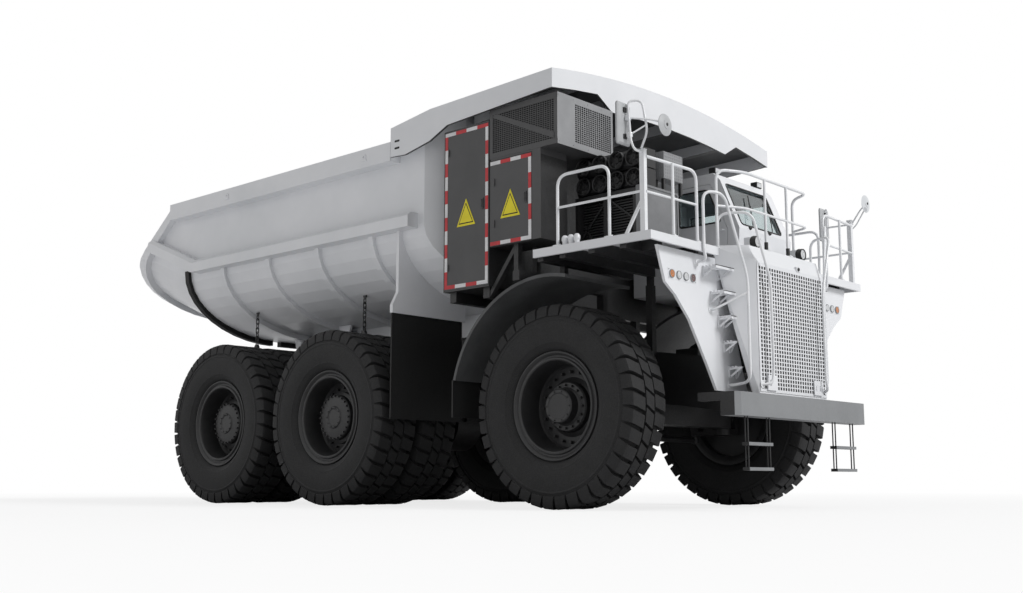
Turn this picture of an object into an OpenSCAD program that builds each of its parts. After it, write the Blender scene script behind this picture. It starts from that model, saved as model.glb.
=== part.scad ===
// Three-axle electric mining dump truck with a canopy bed

/* [Overall] */
// Length from the bumper's face to the tail lip
overall_l = 13120; // [12960:10:13300]
// Bumper's face ahead of the front axle
front_overhang = 2375; // [2350:5:2430]
// Front axle to middle axle
wheelbase = 4360; // [4330:10:4400]
// Middle axle to rear axle
tandem_gap = 2910; // [2880:10:2940]

/* [Wheels] */
// Tyre diameter over the tread
tyre_d = 2700; // [2660:5:2720]
// Tyre section width
tyre_w = 740; // [710:5:760]
// Rim flange diameter
rim_d = 1448; // [1420:2:1480]
// Front track between tyre centres
front_track = 4200; // [4180:5:4220]
// Rear track between outer tyre centres
rear_track = 4772; // [4750:2:4780]
// Lugs round each shoulder of a tyre
tyre_lugs = 24; // [18:1:30]
// Spacing of a pair of twin tyres
dual_gap = 840; // [820:5:850]
// Running clearance round spindles and pins
run_gap = 0.3; // [0.1:0.1:1]

/* [Frame and axles] */
// Width of one frame rail
rail_w = 220; // [180:10:240]
// Height of the rails over the rear axles
rail_h = 560; // [500:10:600]
// Top of the frame rails
rail_top = 2640; // [2600:10:2650]
// Clear distance between the rails
rail_inside = 1000; // [940:10:1040]
// Radius of the rear axle tubes
axle_r = 250; // [220:5:270]
// Kingpin's distance from the middle of the truck
kingpin_y = 1660; // [1640:5:1680]
// Radius of the towing pin's hole
tow_r = 42; // [36:1:48]

/* [Bed] */
// Width over the bed's top rails
bed_w = 5532; // [5500:4:5560]
// Thickness of the bed's walls
wall_t = 60; // [40:5:80]
// Front wall behind the front axle
bed_front = 1950; // [1930:5:2000]
// Height of the bed's top edge
bed_top = 5430; // [5400:5:5460]
// Rise of the tail floor in degrees
tail_rise = 21; // [18:1:23]
// Dump hinge behind the front axle
hinge_x = 7620; // [7600:5:7650]
// Dump hinge above the ground
hinge_z = 2890; // [2880:5:2900]

/* [Canopy] */
// Canopy's front edge ahead of the front axle
canopy_front = 314; // [250:4:340]
// Rise of the canopy's corner above the bed's top edge
canopy_rise = 390; // [370:5:430]
// Crown of the canopy at its middle
canopy_crown = 240; // [160:10:300]

/* [Deck and front] */
// Walking surface above the ground
deck_z = 3390; // [3370:5:3410]
// Width over the decks
deck_w = 5520; // [5480:10:5560]
// Deck's front edge ahead of the front axle
deck_front = 1870; // [1850:5:1900]
// Fender panel ahead of the front axle
panel_x = 1750; // [1735:5:1765]
// Width of the bumper
bumper_w = 3460; // [3400:10:3500]
// Lower edge of the bumper
bumper_z = 1170; // [1140:5:1200]
// Height of the bumper's face
bumper_h = 295; // [280:5:320]
// Width of the grille
grille_w = 1764; // [1720:4:1800]
// Rows of slots in the grille
grille_rows = 15; // [10:1:20]
// Columns of slots in the grille
grille_cols = 13; // [8:1:16]

/* [Cab] */
// Right wall of the cab from the middle of the truck
cab_right = 550; // [520:5:580]
// Width of the cab
cab_w = 1500; // [1450:10:1560]
// Height of the cab's roof above the ground
cab_top = 4957; // [4920:5:4990]
// Thickness of the cab's walls and door
cab_t = 60; // [45:5:70]
// Gap round the door
door_gap = 8; // [6:1:12]

/* [Hidden] */
$fn = 48;
big = 20000;

tyre_r = tyre_d / 2;
front_y = front_track / 2;
rear_y = rear_track / 2;
mid_x = -wheelbase;
rear_x = -wheelbase - tandem_gap;
tail_x = -(overall_l - front_overhang);
rail_in = rail_inside / 2;
rail_out = rail_in + rail_w;
rail_bottom = rail_top - rail_h;
deck_hw = deck_w / 2;
canopy_z = bed_top + canopy_rise;
grille_x = 2206;
white = [0.92, 0.92, 0.9];
dark = [0.12, 0.12, 0.13];
grey = [0.5, 0.51, 0.52];

module place() translate([overall_l / 2 - front_overhang, 0, 0]) children();
module both() { children(); mirror([0, 1, 0]) children(); }
module box(a, b) translate(a) cube(b - a);
module along_x(x0, x1) translate([x0, 0, 0]) rotate([90, 0, 90]) linear_extrude(x1 - x0) children();
module along_y(y0, y1) translate([0, y1, 0]) rotate([90, 0, 0]) linear_extrude(y1 - y0) children();
module rod(a, b, r) {
    v = b - a;
    translate(a) rotate([0, acos(v.z / norm(v)), atan2(v.y, v.x)]) cylinder(h = norm(v), r = r);
}
// Bent tube through a list of points, with a ball at each bend
module tube(p, r, ball = 1.06) {
    for (i = [0 : len(p) - 2]) rod(p[i], p[i + 1], r);
    for (i = [1 : len(p) - 2]) translate(p[i]) sphere(r * ball);
}
function unit(v) = v / norm(v);
// Corners of an anticlockwise outline moved inwards by d
function inset(p, d) = [for (i = [0 : len(p) - 1]) let (
    a = p[(i + len(p) - 1) % len(p)], b = p[i], c = p[(i + 1) % len(p)],
    u = unit(b - a), v = unit(c - b), n = [-u.y, u.x], m = [-v.y, v.x])
    b + d * (n + m) / (1 + n * m)];

// Wheels: local Z points outboard, origin at the tyre's middle
module at_wheel(x, y, side) translate([x, side * y, tyre_r]) rotate([-90 * side, 0, 0]) children();
lug_deep = 50;
module tyre_ring() difference() {
    h = tyre_w / 2;
    seat_r = 622 + run_gap;
    rotate_extrude($fn = 64) polygon([[seat_r, -245], [rim_d / 2 + 12, -256], [rim_d / 2 + 45, -318],
        [seat_r + 380, -h], [tyre_r - 60, -h + 35], [tyre_r, -h + 75], [tyre_r, h - 75],
        [tyre_r - 60, h - 35], [seat_r + 380, h], [rim_d / 2 + 45, 318], [rim_d / 2 + 12, 256],
            [seat_r, 245]]);
    // Grooves between the shoulder lugs, staggered from side to side
    for (i = [0 : tyre_lugs - 1]) for (e = [0, 1]) rotate((i + e / 2) * 360 / tyre_lugs) mirror([0, 0, e])
        translate([tyre_r - lug_deep, -35, 80]) cube([lug_deep + 20, 70, h]);
}
rim_half = 297;
module rim_profile() polygon([[540, -rim_half], [rim_d / 2, -rim_half], [rim_d / 2, -262], [622, -252],
    [622, 252], [rim_d / 2, 262], [rim_d / 2, rim_half], [540, rim_half]]);

spindle_r = 110;
kingpin_r = 60;
module front_hub() {
    rotate_extrude($fn = 64) {
        rim_profile();
        polygon([[spindle_r + run_gap, -150], [330, -150], [330, -20], [560, 20], [560, 90], [330, 90],
            [300, 150], [190, 150], [170, 215], [0, 215], [0, 70], [spindle_r + run_gap, 70]]);
    }
    for (a = [0 : 20 : 340]) rotate(a) translate([262, 0, 140]) cylinder(h = 40, r = 18, $fn = 6);
}
hub_bore = axle_r + run_gap;
// Twin hub: origin at the outer tyre's middle, the inner rim lies at -dual_gap
module twin_hub() {
    rotate_extrude($fn = 64) {
        rim_profile();
        translate([0, -dual_gap]) rim_profile();
        polygon([[540, -dual_gap + 200], [600, -dual_gap + 200], [600, -200], [540, -200]]);
        polygon([[hub_bore, -dual_gap - 100], [340, -dual_gap - 100], [380, -90], [560, -40], [560, 60],
            [470, 80], [450, 170], [330, 200], [300, 260], [0, 260], [0, -60], [hub_bore, -60]]);
    }
    for (a = [0 : 15 : 345]) rotate(a) translate([505, 0, 50]) cylinder(h = 45, r = 20, $fn = 6);
}

module frame() color(dark) {
    difference() {
        both() {
            along_y(rail_in, rail_out) polygon([[-hinge_x - 330, rail_bottom + 160], [-hinge_x + 350,
                rail_bottom],
                [-1500, rail_bottom], [-700, 1620], [1500, 1300], [2080, 1250], [2080, 1440],
                [1640, 1440], [1600, 2000], [-500, 2300], [-1500, rail_top], [-hinge_x - 330, rail_top]]);
            // Hinge cheeks at the tail of the frame
            along_y(rail_in + 20, rail_out - 20) polygon([[-hinge_x - 190, rail_top - 60],
                [-hinge_x + 260, rail_top - 60], [-hinge_x + 130, hinge_z + 40], [-hinge_x + 40,
                    hinge_z + 110],
                [-hinge_x - 60, hinge_z + 110], [-hinge_x - 140, hinge_z + 40]]);
        }
        rod([-hinge_x, -rail_out - 50, hinge_z], [-hinge_x, rail_out + 50, hinge_z], pin_r + run_gap);
    }
    // Cross members
    for (c = [[1450, 1700], [-700, 2010], [-3300, rail_bottom + 250], [(mid_x + rear_x) / 2,
        rail_bottom + 250],
        [-hinge_x - 200, rail_bottom + 310]])
        rod([c.x, -rail_in - 20, c.y], [c.x, rail_in + 20, c.y], 150);
    box([1850, -rail_out - 60, 1255], [2080, rail_out + 60, 1435]);
    // Towing jaw with its pin hole
    difference() {
        box([-hinge_x - 540, -150, rail_bottom + 120], [-hinge_x - 250, 150, rail_bottom + 320]);
        translate([-hinge_x - 450, 0, rail_bottom]) cylinder(h = 600, r = tow_r);
    }
    // Trunnion tube that carries the hoist cylinders
    rod([hoist_px, -hoist_y - 170, hoist_pz], [hoist_px, hoist_y + 170, hoist_pz], 70);
    both() box([hoist_px - 160, rail_in + 10, hoist_pz - 110], [hoist_px + 160, rail_out - 10,
        rail_bottom + 60]);
    // Brackets for the middle axle's arms
    both() box([mid_x + 980, rail_in + 10, 1520], [mid_x + 1160, rail_out - 10, rail_bottom + 60]);
    // Rest pads under the bed
    both() for (x = [-2700, -4000, -5300]) box([x - 150, rail_in + 30, rail_top - 10], [x + 150,
        rail_out - 30, sill_z - run_gap]);
}
sill_z = rail_top + 36;
pin_r = 60;

module drive_motor() color(dark) {
    // Motor and gearbox as one block on four feet
    box([-2950, -430, 1560], [-1300, 430, 2420]);
    for (x = [-2700, -1700]) box([x - 90, -rail_in, 2180], [x + 90, rail_in, 2330]);
    rod([-2940, 0, 1800], [mid_x + 552, 0, 1520], 85);
    rod([mid_x - 520, 0, 1510], [rear_x + 520, 0, 1510], 85);
}

module front_axle() color(dark) {
    difference() {
        union() {
            box([-190, -kingpin_y + 60, 1180], [190, kingpin_y - 60, 1470]);
            both() translate([0, kingpin_y, 1180]) cylinder(h = 340, r = 125);
        }
        both() translate([0, kingpin_y, 1100]) cylinder(h = 500, r = kingpin_r + run_gap);
    }
    // Trailing arms to the frame
    both() along_y(rail_in - 100, rail_in) polygon([[-150, 1230], [-150, 1440], [-1050, 2050],
        [-1200, 2050], [-1200, 1900]]);
}

module rear_axles() color(dark) for (x = [mid_x, rear_x]) {
    rod([x, -rear_y + 62, tyre_r], [x, rear_y - 62, tyre_r], axle_r);
    translate([x, 0, tyre_r]) rotate([90, 0, 0]) cylinder(h = 560, r = 470, center = true);
    box([x - (x == mid_x ? 520 : 300), -140, tyre_r], [x + 520, 140, tyre_r + 310]);
    both() box([x - 170, 800, tyre_r], [x + 170, 1040, tyre_r + 330]);
    // Trailing arm to the frame
    e = x == mid_x ? mid_x + 980 : hoist_px - 160;
    both() along_y(560, 660) polygon([[x - 120, 1250], [x + 120, 1250], [e, 1560], [e, 1690], [x, 1560]]);
}

module strut(x, y, z0, z1, r) {
    translate([x, y, z0]) cylinder(h = (z1 - z0) * 0.45, r = r * 0.72);
    translate([x, y, z0 + (z1 - z0) * 0.4]) cylinder(h = (z1 - z0) * 0.6, r = r);
}
module suspension() color(grey) both() {
    strut(0, 1020, 1470, 2360, 150);
    box([-200, rail_out, 2080], [200, 1180, 2360]);
    for (x = [mid_x, rear_x]) {
        strut(x, 920, tyre_r + 330, 2500, 120);
        box([x - 190, rail_out, 2400], [x + 190, 1050, 2520]);
    }
}

module bumper() color(grey) {
    x = front_overhang;
    w = bumper_w / 2;
    translate([0, 0, bumper_z]) linear_extrude(bumper_h)
        polygon([[2130, -w], [x - 40, -w], [x, -w + 90], [x, w - 90], [x - 40, w], [2130, w]]);
    both() box([1800, w - 130, bumper_z + bumper_h - 105], [2140, w, bumper_z + bumper_h]);
    box([2080, -rail_out, 1260], [2140, rail_out, 1430]);
}

module boarding_ladders() color(dark) both() {
    for (y = [880, 1400]) for (x = [2270, 2310]) rod([x, y, 520], [x, y, bumper_z], 9);
    for (z = [500, 810]) box([2240, 850, z], [2340, 1430, z + 40]);
}

hood_t = 40 / (2100 - panel_x + 40);
hood_slope = (1190 - 360) / (3440 - 1480);
function hood_y(z) = min(360 + 530 * hood_t + hood_slope * (z - 1480), 1190 - 285 * hood_t);
hood_front = [[-grille_w / 2 - 8, 1480], [grille_w / 2 + 8, 1480], [grille_w / 2 + 8, 3212],
    [-grille_w / 2 - 8, 3212]];
module hood_form(d) hull() {
    along_x(grille_x - 12 - d, grille_x - 10 - d) polygon(inset(hood_front, d));
    along_x(2098, 2100) polygon(inset([[-890, 1480], [890, 1480], [905, 3440], [-905, 3440]], d));
    along_x(panel_x - 40, panel_x - 39) polygon(inset([[-360, 1480], [360, 1480], [1190, 3440],
        [-1190, 3440]], d));
}
module hood() color(white) difference() {
    hood_form(0);
    translate([-30, 0, 0]) hood_form(30);
    box([1000, -860, 1400], [2180, 860, 1530]);
}
hood_back = panel_x - 40;

module grille() color(white) {
    w = grille_w;
    h = 1686;
    px = (w - 60) / grille_cols;
    pz = (h - 60) / grille_rows;
    along_x(grille_x - 10, grille_x) difference() {
        translate([-w / 2, 1513]) square([w, h]);
        for (i = [0 : grille_cols - 1]) for (j = [0 : grille_rows - 1])
            translate([-w / 2 + 30 + px * (i + 0.28), 1543 + pz * (j + 0.2)]) square([px * 0.44,
                pz * 0.6]);
    }
}

function hood_edge(z) = 1190 - 300 * (3440 - z) / 1960 + run_gap + 0.5;
hood_kink = 3440 - 1960 * hood_t;
panel_pts = [[2464, 3268], [hood_edge(3268), 3268], [hood_edge(hood_kink), hood_kink],
    [hood_y(1531) + run_gap + 0.5, 1531], [1198, 1531], [1404, 1850], [1787, 2397], [2079, 2674],
    [2301, 2820]];
module fender_panels() color(white) both() along_x(panel_x - 40, panel_x) polygon(panel_pts);

step_z = [3127, 2814, 2499, 2187, 1861];
step_y = [1483, 1309, 1148, 1026, 919];
module stair_steps() color(white) difference() {
    both() for (i = [0 : 4]) {
        y1 = step_y[i];
        y0 = y1 - 430;
        z = step_z[i];
        translate([panel_x, y0, z - 30]) cube([218, 430, 30]);
        for (y = [y1 - 20, y0 + 30]) along_y(y - 10, y + 10)
            polygon([[panel_x, z - 30], [panel_x, z - 150], [panel_x + 20, z - 150], [panel_x + 200,
                z - 30]]);
    }
    hood_form(0);
}

module deck() color(white) {
    // Right deck, front walkway and left deck
    difference() {
        box([-40, -deck_hw, deck_z - 12], [deck_front, deck_hw, deck_z]);
        box([-100, cab_right - 15, 3000], [1065, cab_left + 15, 4000]);
        box([hood_back - 5, -1196, 3000], [3000, 1196, 4000]);
    }
    both() {
        box([-40, deck_hw - 40, deck_z - 110], [deck_front, deck_hw, deck_z - 11]);
        box([deck_front - 40, 1260, deck_z - 110], [deck_front, deck_hw - 39, deck_z - 11]);
    }
}

cab_floor = 3200;
module deck_frame() color(dark) {
    top = deck_z - 12;
    // Bearers under the right deck
    for (x = [40, 420, 900, 1400]) box([x - 50, -deck_hw + 60, top - 148], [x + 50, -rail_out, top]);
    // Bearers under the cab and the left deck
    for (x = [40, 420, 900]) {
        box([x - 50, rail_out, arch_top], [x + 50, deck_hw - 60, cab_floor]);
        box([x - 50, cab_left + 30, cab_floor - 1], [x + 50, deck_hw - 60, top]);
    }
    box([1350, rail_out, top - 148], [1450, deck_hw - 60, top]);
    both() {
        for (x = [420, 1400]) box([x - 50, rail_out, 1760], [x + 50, rail_out + 100,
            x > 1000 ? top - 140 : cab_floor - 100]);
        for (y = [1500, 2300]) box([1400, y, top - 148], [panel_x - 40, y + 80, top]);
    }
    box([390, -rail_out - 100, cab_floor - 160], [450, -rail_out, top - 140]);
    // Hanger of the right wheel arch
    box([-20, -2230, arch_top], [60, -2150, top - 140]);
    // Cross beams that carry the cabinets
    for (x = [-1650, -1000]) box([x - 60, -deck_hw + 120, 2860], [x + 60, deck_hw - 120, 3010]);
    both() for (x = [-1650, -1000]) box([x - 60, rail_out, 2200], [x + 60, rail_out + 100, 2870]);
    box([-510, -deck_hw + 120, 3046], [-390, -rail_out, 3180]);
    box([-510, -rail_out - 100, 2000], [-390, -rail_out, 3050]);
    for (y = [-deck_hw + 120, -deck_hw + 500]) box([-490, y, 3170], [-410, y + 80, 3550]);
    along_y(-deck_hw + 130, -deck_hw + 210) polygon([[-940, 2865], [-400, 3550], [-480, 3550], [-940,
        2950]]);
}

module handrails() color(white) {
    z = deck_z;
    edge = deck_hw - 40;
    both() {
        // Corner post with its brace, and the side rail
        box([1710, deck_hw - 60, z], [1790, deck_hw, 4480]);
        along_y(edge - 16, edge + 16) polygon([[1450, z], [1490, z], [1720, 3760], [1720, 3820]]);
        tube([[200, edge, z], [200, edge, 4250], [300, edge, 4400], [880, edge, 4400],
            [980, edge, 4250], [980, edge, z]], 21);
        rod([200, edge, 3900], [1740, edge, 3900], 18);
        // Front rail
        tube([[1780, edge - 10, 4420], [1830, 1800, 4420], [1830, 1690, 4300], [1830, 1690, z]], 21);
        rod([1832, 2220, z], [1832, 2220, 4425], 20);
        rod([1780, edge, 3930], [1830, 1690, 3930], 17);
        // Stair rails
        tube([[panel_x, 1586, 3160], [panel_x + 60, 1586, 3160], [1895, 1640, 3240], [1895, 1640, 3800],
            [1905, 1600, 3940], [1960, 1480, 4040], [2040, 1330, 3980], [2150, 1030, 2995],
            [2150, 1030, 1750], [2110, 990, 1650], [panel_x + 60, 905, 1614], [panel_x, 905, 1614]], 19);
        tube([[panel_x, 1308, 2567], [panel_x + 40, 1308, 2567], [2150, 1030, 2790]], 16);
        tube([[grille_x, 843, 1600], [grille_x + 40, 843, 1600], [2300, 700, 1780], [2300, 700, 2945],
            [2270, 1000, 3690], [2150, 1200, 3800], [1900, 1240, 3800], [1850, 1240, 3700],
            [1850, 1240, z]], 19);
    }
    // Rail over the hood
    tube([[2050, -880, 3440], [2050, -880, 4300], [2050, -780, 4440], [2050, 700, 4440],
        [2050, 800, 4300], [2050, 800, 3440]], 21);
    for (y = [-450, 150]) rod([2052, y, 3440], [2052, y, 4440], 19);
    rod([2048, -880, 3950], [2048, 800, 3950], 17);
}

module mirrors() color(dark) {
    m = deck_hw;
    // Right: tall flat mirror on a bent bar, and a round mirror on a straight one
    box([1590, -m - 310, 4460], [1630, -m - 40, 5000]);
    along_x(1735, 1765) polygon([[-m, 4365], [-m - 75, 4365], [-m - 155, 4555], [-m - 155, 4975],
        [-m - 125, 4975], [-m - 125, 4560], [-m - 58, 4395], [-m, 4395]]);
    box([1610, -m - 155, 4945], [1750, -m - 125, 4975]);
    translate([0, 0, 4690]) linear_extrude(22)
        polygon([[1750, -m - 150], [2070, -m + 66], [2070, -m + 94], [1750, -m - 126]]);
    rod([2050, -m + 80, 4680], [2090, -m + 80, 4680], 140);
    // Left: flat mirror on a long arm, and a round mirror on a raking one
    box([1190, m + 40, 4180], [1230, m + 310, 4720]);
    translate([0, 0, 4365]) linear_extrude(30)
        polygon([[1735, m], [1765, m], [1765, m + 85], [1210, m + 165], [1210, m + 135], [1735, m + 60]]);
    along_y(m + 38, m + 62) polygon([[1740, 4372], [1764, 4372], [2025, 4650], [2005, 4672]]);
    rod([1990, m + 50, 4660], [2030, m + 50, 4660], 140);
}

cab_out = [[-850, cab_floor], [1040, cab_floor], [1090, 4060], [780, 4830], [660, cab_top], [-850,
    cab_top]];
door_low = deck_z + 15;
door_out = [[-50, door_low], [850, door_low], [885, 4060], [600, 4790], [-50, 4790]];
door_window = [[40, 4190], [780, 4190], [560, 4710], [40, 4710]];
side_window = [[-740, 4190], [-180, 4190], [-180, 4710], [-740, 4710]];
left_window = [[-740, 4190], [880, 4190], [660, 4710], [-740, 4710]];
cab_left = cab_right + cab_w;
hinge_door = [-62, cab_right - 18];
door_hinge_z = [3420, 4560];
module cab_shell() color(white) {
    cab_walls();
    for (z = door_hinge_z) {
        rod([hinge_door.x, hinge_door.y, z - 60], [hinge_door.x, hinge_door.y, z - run_gap], 16);
        box([-130, hinge_door.y - 12, z - 60], [hinge_door.x, cab_right + 5, z - run_gap]);
    }
}
module cab_walls() difference() {
    along_y(cab_right, cab_left) polygon(cab_out);
    along_y(cab_right + cab_t, cab_left - cab_t) polygon(inset(cab_out, cab_t));
    along_y(cab_right - 10, cab_right + cab_t + 10) polygon(inset(door_out, -door_gap));
    along_y(cab_right - 10, cab_right + cab_t + 10) polygon(side_window);
    along_y(cab_left - cab_t - 10, cab_left + 10) polygon(left_window);
    box([700, cab_right + 110, 4130], [1300, cab_left - 230, 4790]);
    box([-900, cab_right + 200, 4250], [-700, cab_left - 200, 4750]);
}
module cab_glass() color([0.25, 0.3, 0.33]) {
    intersection() {
        along_y(cab_right + 110, cab_left - 230) difference() {
            polygon(inset(cab_out, cab_t / 2 - 6));
            polygon(inset(cab_out, cab_t / 2 + 6));
        }
        box([700, cab_right, 4130], [1300, cab_left, 4790]);
    }
    along_y(cab_right + cab_t / 2 - 6, cab_right + cab_t / 2 + 6) polygon(side_window);
    along_y(cab_left - cab_t / 2 - 6, cab_left - cab_t / 2 + 6) polygon(left_window);
    box([-850 + cab_t / 2 - 6, cab_right + 200, 4250], [-850 + cab_t / 2 + 6, cab_left - 200, 4750]);
}
module cab_interior() color(dark) {
    y = cab_right + cab_w / 2;
    z = cab_floor + cab_t;
    // Seat
    box([-420, y - 200, z], [60, y + 200, z + 340]);
    box([-440, y - 250, z + 330], [100, y + 250, z + 450]);
    box([-480, y - 250, z + 400], [-350, y + 250, z + 1150]);
    // Dash, column and wheel
    box([620, cab_right + cab_t + 40, z], [900, cab_left - cab_t - 40, z + 800]);
    rod([640, y, z + 700], [412, y, z + 866], 30);
    translate([412, y, z + 866]) rotate([0, -54, 0]) {
        rotate_extrude() translate([200, 0]) circle(18);
        translate([-10, -195, -12]) cube([20, 390, 24]);
    }
}
module cab_door() color(white) difference() {
    union() {
        along_y(cab_right, cab_right + cab_t) polygon(door_out);
        rod([700, cab_right - 40, 4060], [830, cab_right - 40, 4060], 12);
        for (x = [705, 825]) rod([x, cab_right - 40, 4060], [x, cab_right + 5, 4060], 10);
        for (z = door_hinge_z) {
            rod([hinge_door.x, hinge_door.y, z], [hinge_door.x, hinge_door.y, z + 140], 16);
            box([hinge_door.x, hinge_door.y - 12, z], [20, cab_right - 3, z + 140]);
            box([-40, hinge_door.y - 12, z], [20, cab_right + 5, z + 140]);
        }
    }
    along_y(cab_right - 10, cab_right + cab_t + 10) polygon(door_window);
}
module door_glass() color([0.25, 0.3, 0.33])
    along_y(cab_right + cab_t / 2 - 6, cab_right + cab_t / 2 + 6) polygon(door_window);

module equipment_cabinets() color([0.3, 0.3, 0.31]) {
    side = deck_hw - 60;
    both() box([-1790, side - 750, 3010], [-900, side, 5360]);
    box([-880, -side, 3550], [50, -side + 550, 4700]);
    // Battery packs as one block between the cabinets
    box([-1790, -side + 800, 3010], [-950, side - 800, 5200]);
}
module vent_box() color([0.75, 0.75, 0.75]) {
    box([-890, -deck_hw + 60, 4700], [346, -1500, 5500]);
}
module fan_bank() color(dark) {
    box([-60, -1840, 4230], [1010, -1560, 4690]);
    for (i = [0 : 3]) for (j = [0 : 1])
        rod([80 + i * 270, -1900, 4370 + j * 215], [80 + i * 270, -1835, 4370 + j * 215], 98);
}
module cooling_unit() color(grey) {
    box([-30, -1880, deck_z], [1020, -1120, 4230]);
    box([1021, -1900, deck_z], [1150, -1100, 4250]);
}

arch_in = 1690;
arch_top = tyre_r + arch_in + 45 + run_gap;
module wheel_arches() color(white) both() intersection() {
    translate([0, 0, tyre_r]) rotate([90, 0, 0]) difference() {
        cylinder(h = 2600, r = arch_in + 45, $fn = 360);
        translate([0, 0, -1]) cylinder(h = 2602, r = arch_in, $fn = 360);
        rotate(0) translate([0, 0, -1]) linear_extrude(2602)
            polygon([[0, 0], [-4000, 1000], [-4000, -4000], [4000, -4000], [4000, 4000], [900, 4000]]);
    }
    box([-2000, -2600, 1000], [2000, -1200, 4000]);
}
arch_end = atan(1 / 4);
flap_x = -(arch_in + 45) * cos(arch_end) - run_gap;
module arch_flaps() color(dark) both()
    box([flap_x - 24, 2050, 1250], [flap_x, 2600, tyre_r + (arch_in + 45) * sin(arch_end)]);

module lamps() color(grey) {
    both() {
        for (y = [2170, 2015, 1860, 1705]) rod([panel_x, y, 2936], [panel_x + 18, y, 2936], 55);
        rod([1990, 610, 3530], [2080, 610, 3530], 85);
        box([1900, 530, 3440], [2000, 690, 3600]);
    }
}

// Steering
ball_r = 30;
module knuckle(side) mirror([0, side < 0 ? 1 : 0, 0]) color(dark) translate([0, kingpin_y, 0]) {
    translate([0, 0, 1080]) cylinder(h = 540, r = kingpin_r);
    translate([0, 0, 1080]) cylinder(h = 95, r = 140);
    translate([0, 0, 1525]) cylinder(h = 95, r = 140);
    box([-140, 0, 1080], [140, 240, 1175]);
    box([-140, 0, 1525], [140, 240, 1620]);
    box([-140, 150, 1080], [140, 240, 1620]);
    translate([0, 0, tyre_r]) rotate([-90, 0, 0]) cylinder(h = front_y - kingpin_y + 65, r = spindle_r);
    // Steering arm and its ball pin
    linear_extrude(1080 + 60) polygon([[60, -60], [60, 60], [-560, 50], [-560, -50], [-60, -120]]);
}
module knuckle_cut(side) difference() {
    knuckle(side);
    box([-3000, -3000, 0], [3000, 3000, 1080]);
    translate([0, side * kingpin_y, 1175]) cylinder(h = 350, r = 145);
}
module knuckle_solid(side) {
    knuckle_cut(side);
    color(dark) translate([0, side * kingpin_y, 1100]) cylinder(h = 500, r = kingpin_r);
    color(dark) translate([-520, side * kingpin_y, 950]) cylinder(h = 140, r = ball_r);
}
module knuckle_right() knuckle_solid(-1);
module knuckle_left() knuckle_solid(1);
module tie_rod() color(grey) {
    difference() {
        union() {
            rod([-520, -kingpin_y + 40, 1010], [-520, kingpin_y - 40, 1010], 42);
            both() translate([-520, kingpin_y, 965]) cylinder(h = 90, r = ball_r * 2);
        }
        both() translate([-520, kingpin_y, 900]) cylinder(h = 300, r = ball_r + 2);
    }
}

module tyre_front_right() color(dark) at_wheel(0, front_y, -1) tyre_ring();
module tyre_front_left() color(dark) at_wheel(0, front_y, 1) tyre_ring();
module hub_front_right() color(grey) at_wheel(0, front_y, -1) front_hub();
module hub_front_left() color(grey) at_wheel(0, front_y, 1) front_hub();
module tyres_twin(x, side) color(dark) at_wheel(x, rear_y, side) {
    tyre_ring();
    translate([0, 0, -dual_gap]) tyre_ring();
}
module tyres_middle_right() tyres_twin(mid_x, -1);
module tyres_middle_left() tyres_twin(mid_x, 1);
module tyres_rear_right() tyres_twin(rear_x, -1);
module tyres_rear_left() tyres_twin(rear_x, 1);
module hub_middle_right() color(grey) at_wheel(mid_x, rear_y, -1) twin_hub();
module hub_middle_left() color(grey) at_wheel(mid_x, rear_y, 1) twin_hub();
module hub_rear_right() color(grey) at_wheel(rear_x, rear_y, -1) twin_hub();
module hub_rear_left() color(grey) at_wheel(rear_x, rear_y, 1) twin_hub();

// Bed
belly_flat = 600;
belly_z = 4130;
side_y = bed_w / 2 - 206;
rail_y = bed_w / 2;
bed_end = 8650;
shell_b = 1100;
// Outside of the shell with the hair of clearance that ribs and rails are fitted to
seat_y = side_y + run_gap / 3;
seat_b = shell_b + run_gap / 3;
function u_half(hw, b) = [for (t = [0 : 9 : 90]) [belly_flat + (hw - belly_flat) * cos(t),
    belly_z - b * sin(t)]];
function u_pts(hw, b, top) = concat([[-hw, top]], [for (p = u_half(hw, b)) [-p.x, p.y]],
    [for (i = [10 : -1 : 0]) u_half(hw, b)[i]], [[hw, top]]);
plan = [[-bed_end - 1200, -rail_y], [-2540, -rail_y], [-bed_front, -2100], [-bed_front, 2100],
    [-2540, rail_y], [-bed_end - 1200, rail_y]];
belly_b = belly_z - shell_b;
// Mitre line between the level floor and the rising tail
function mitre_x(z) = -bed_end + (z - belly_b) * tan(tail_rise / 2);
tail_top = -9070;
tail_pts = [[mitre_x(2230), 2230], [mitre_x(bed_top), bed_top], [tail_top, bed_top], [-10300, 4500],
    [tail_x, 3950], [tail_x, 3400]];
module tail_run(x0) translate([-bed_end, 0, belly_b]) rotate([0, tail_rise, 0])
    translate([0, 0, -belly_b]) along_x(x0, 900) children();
module bed_shell() color(white) {
    intersection() {
        difference() {
            intersection() {
                along_x(-bed_end - 900, 0) polygon(u_pts(side_y, shell_b, bed_top));
                linear_extrude(big) polygon(plan);
            }
            intersection() {
                along_x(-bed_end - 1000, 0) polygon(u_pts(side_y - wall_t, shell_b - wall_t,
                    bed_top + 100));
                linear_extrude(big) polygon([for (p = plan) [p.x - wall_t, p.y]]);
            }
        }
        along_y(-big / 2, big / 2) polygon([[mitre_x(2230), 2230], [0, 2230], [0, bed_top + 50],
            [mitre_x(bed_top + 50), bed_top + 50]]);
    }
    intersection() {
        tail_run(-3000) difference() {
            polygon(u_pts(side_y, shell_b, bed_top + 900));
            polygon(u_pts(side_y - wall_t, shell_b - wall_t, bed_top + 950));
        }
        along_y(-big / 2, big / 2) polygon(tail_pts);
    }
}
rib_x = [-7474, -6153, -4834, -3507];
function belly_at(y) = lookup(y, u_half(side_y, shell_b));
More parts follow.
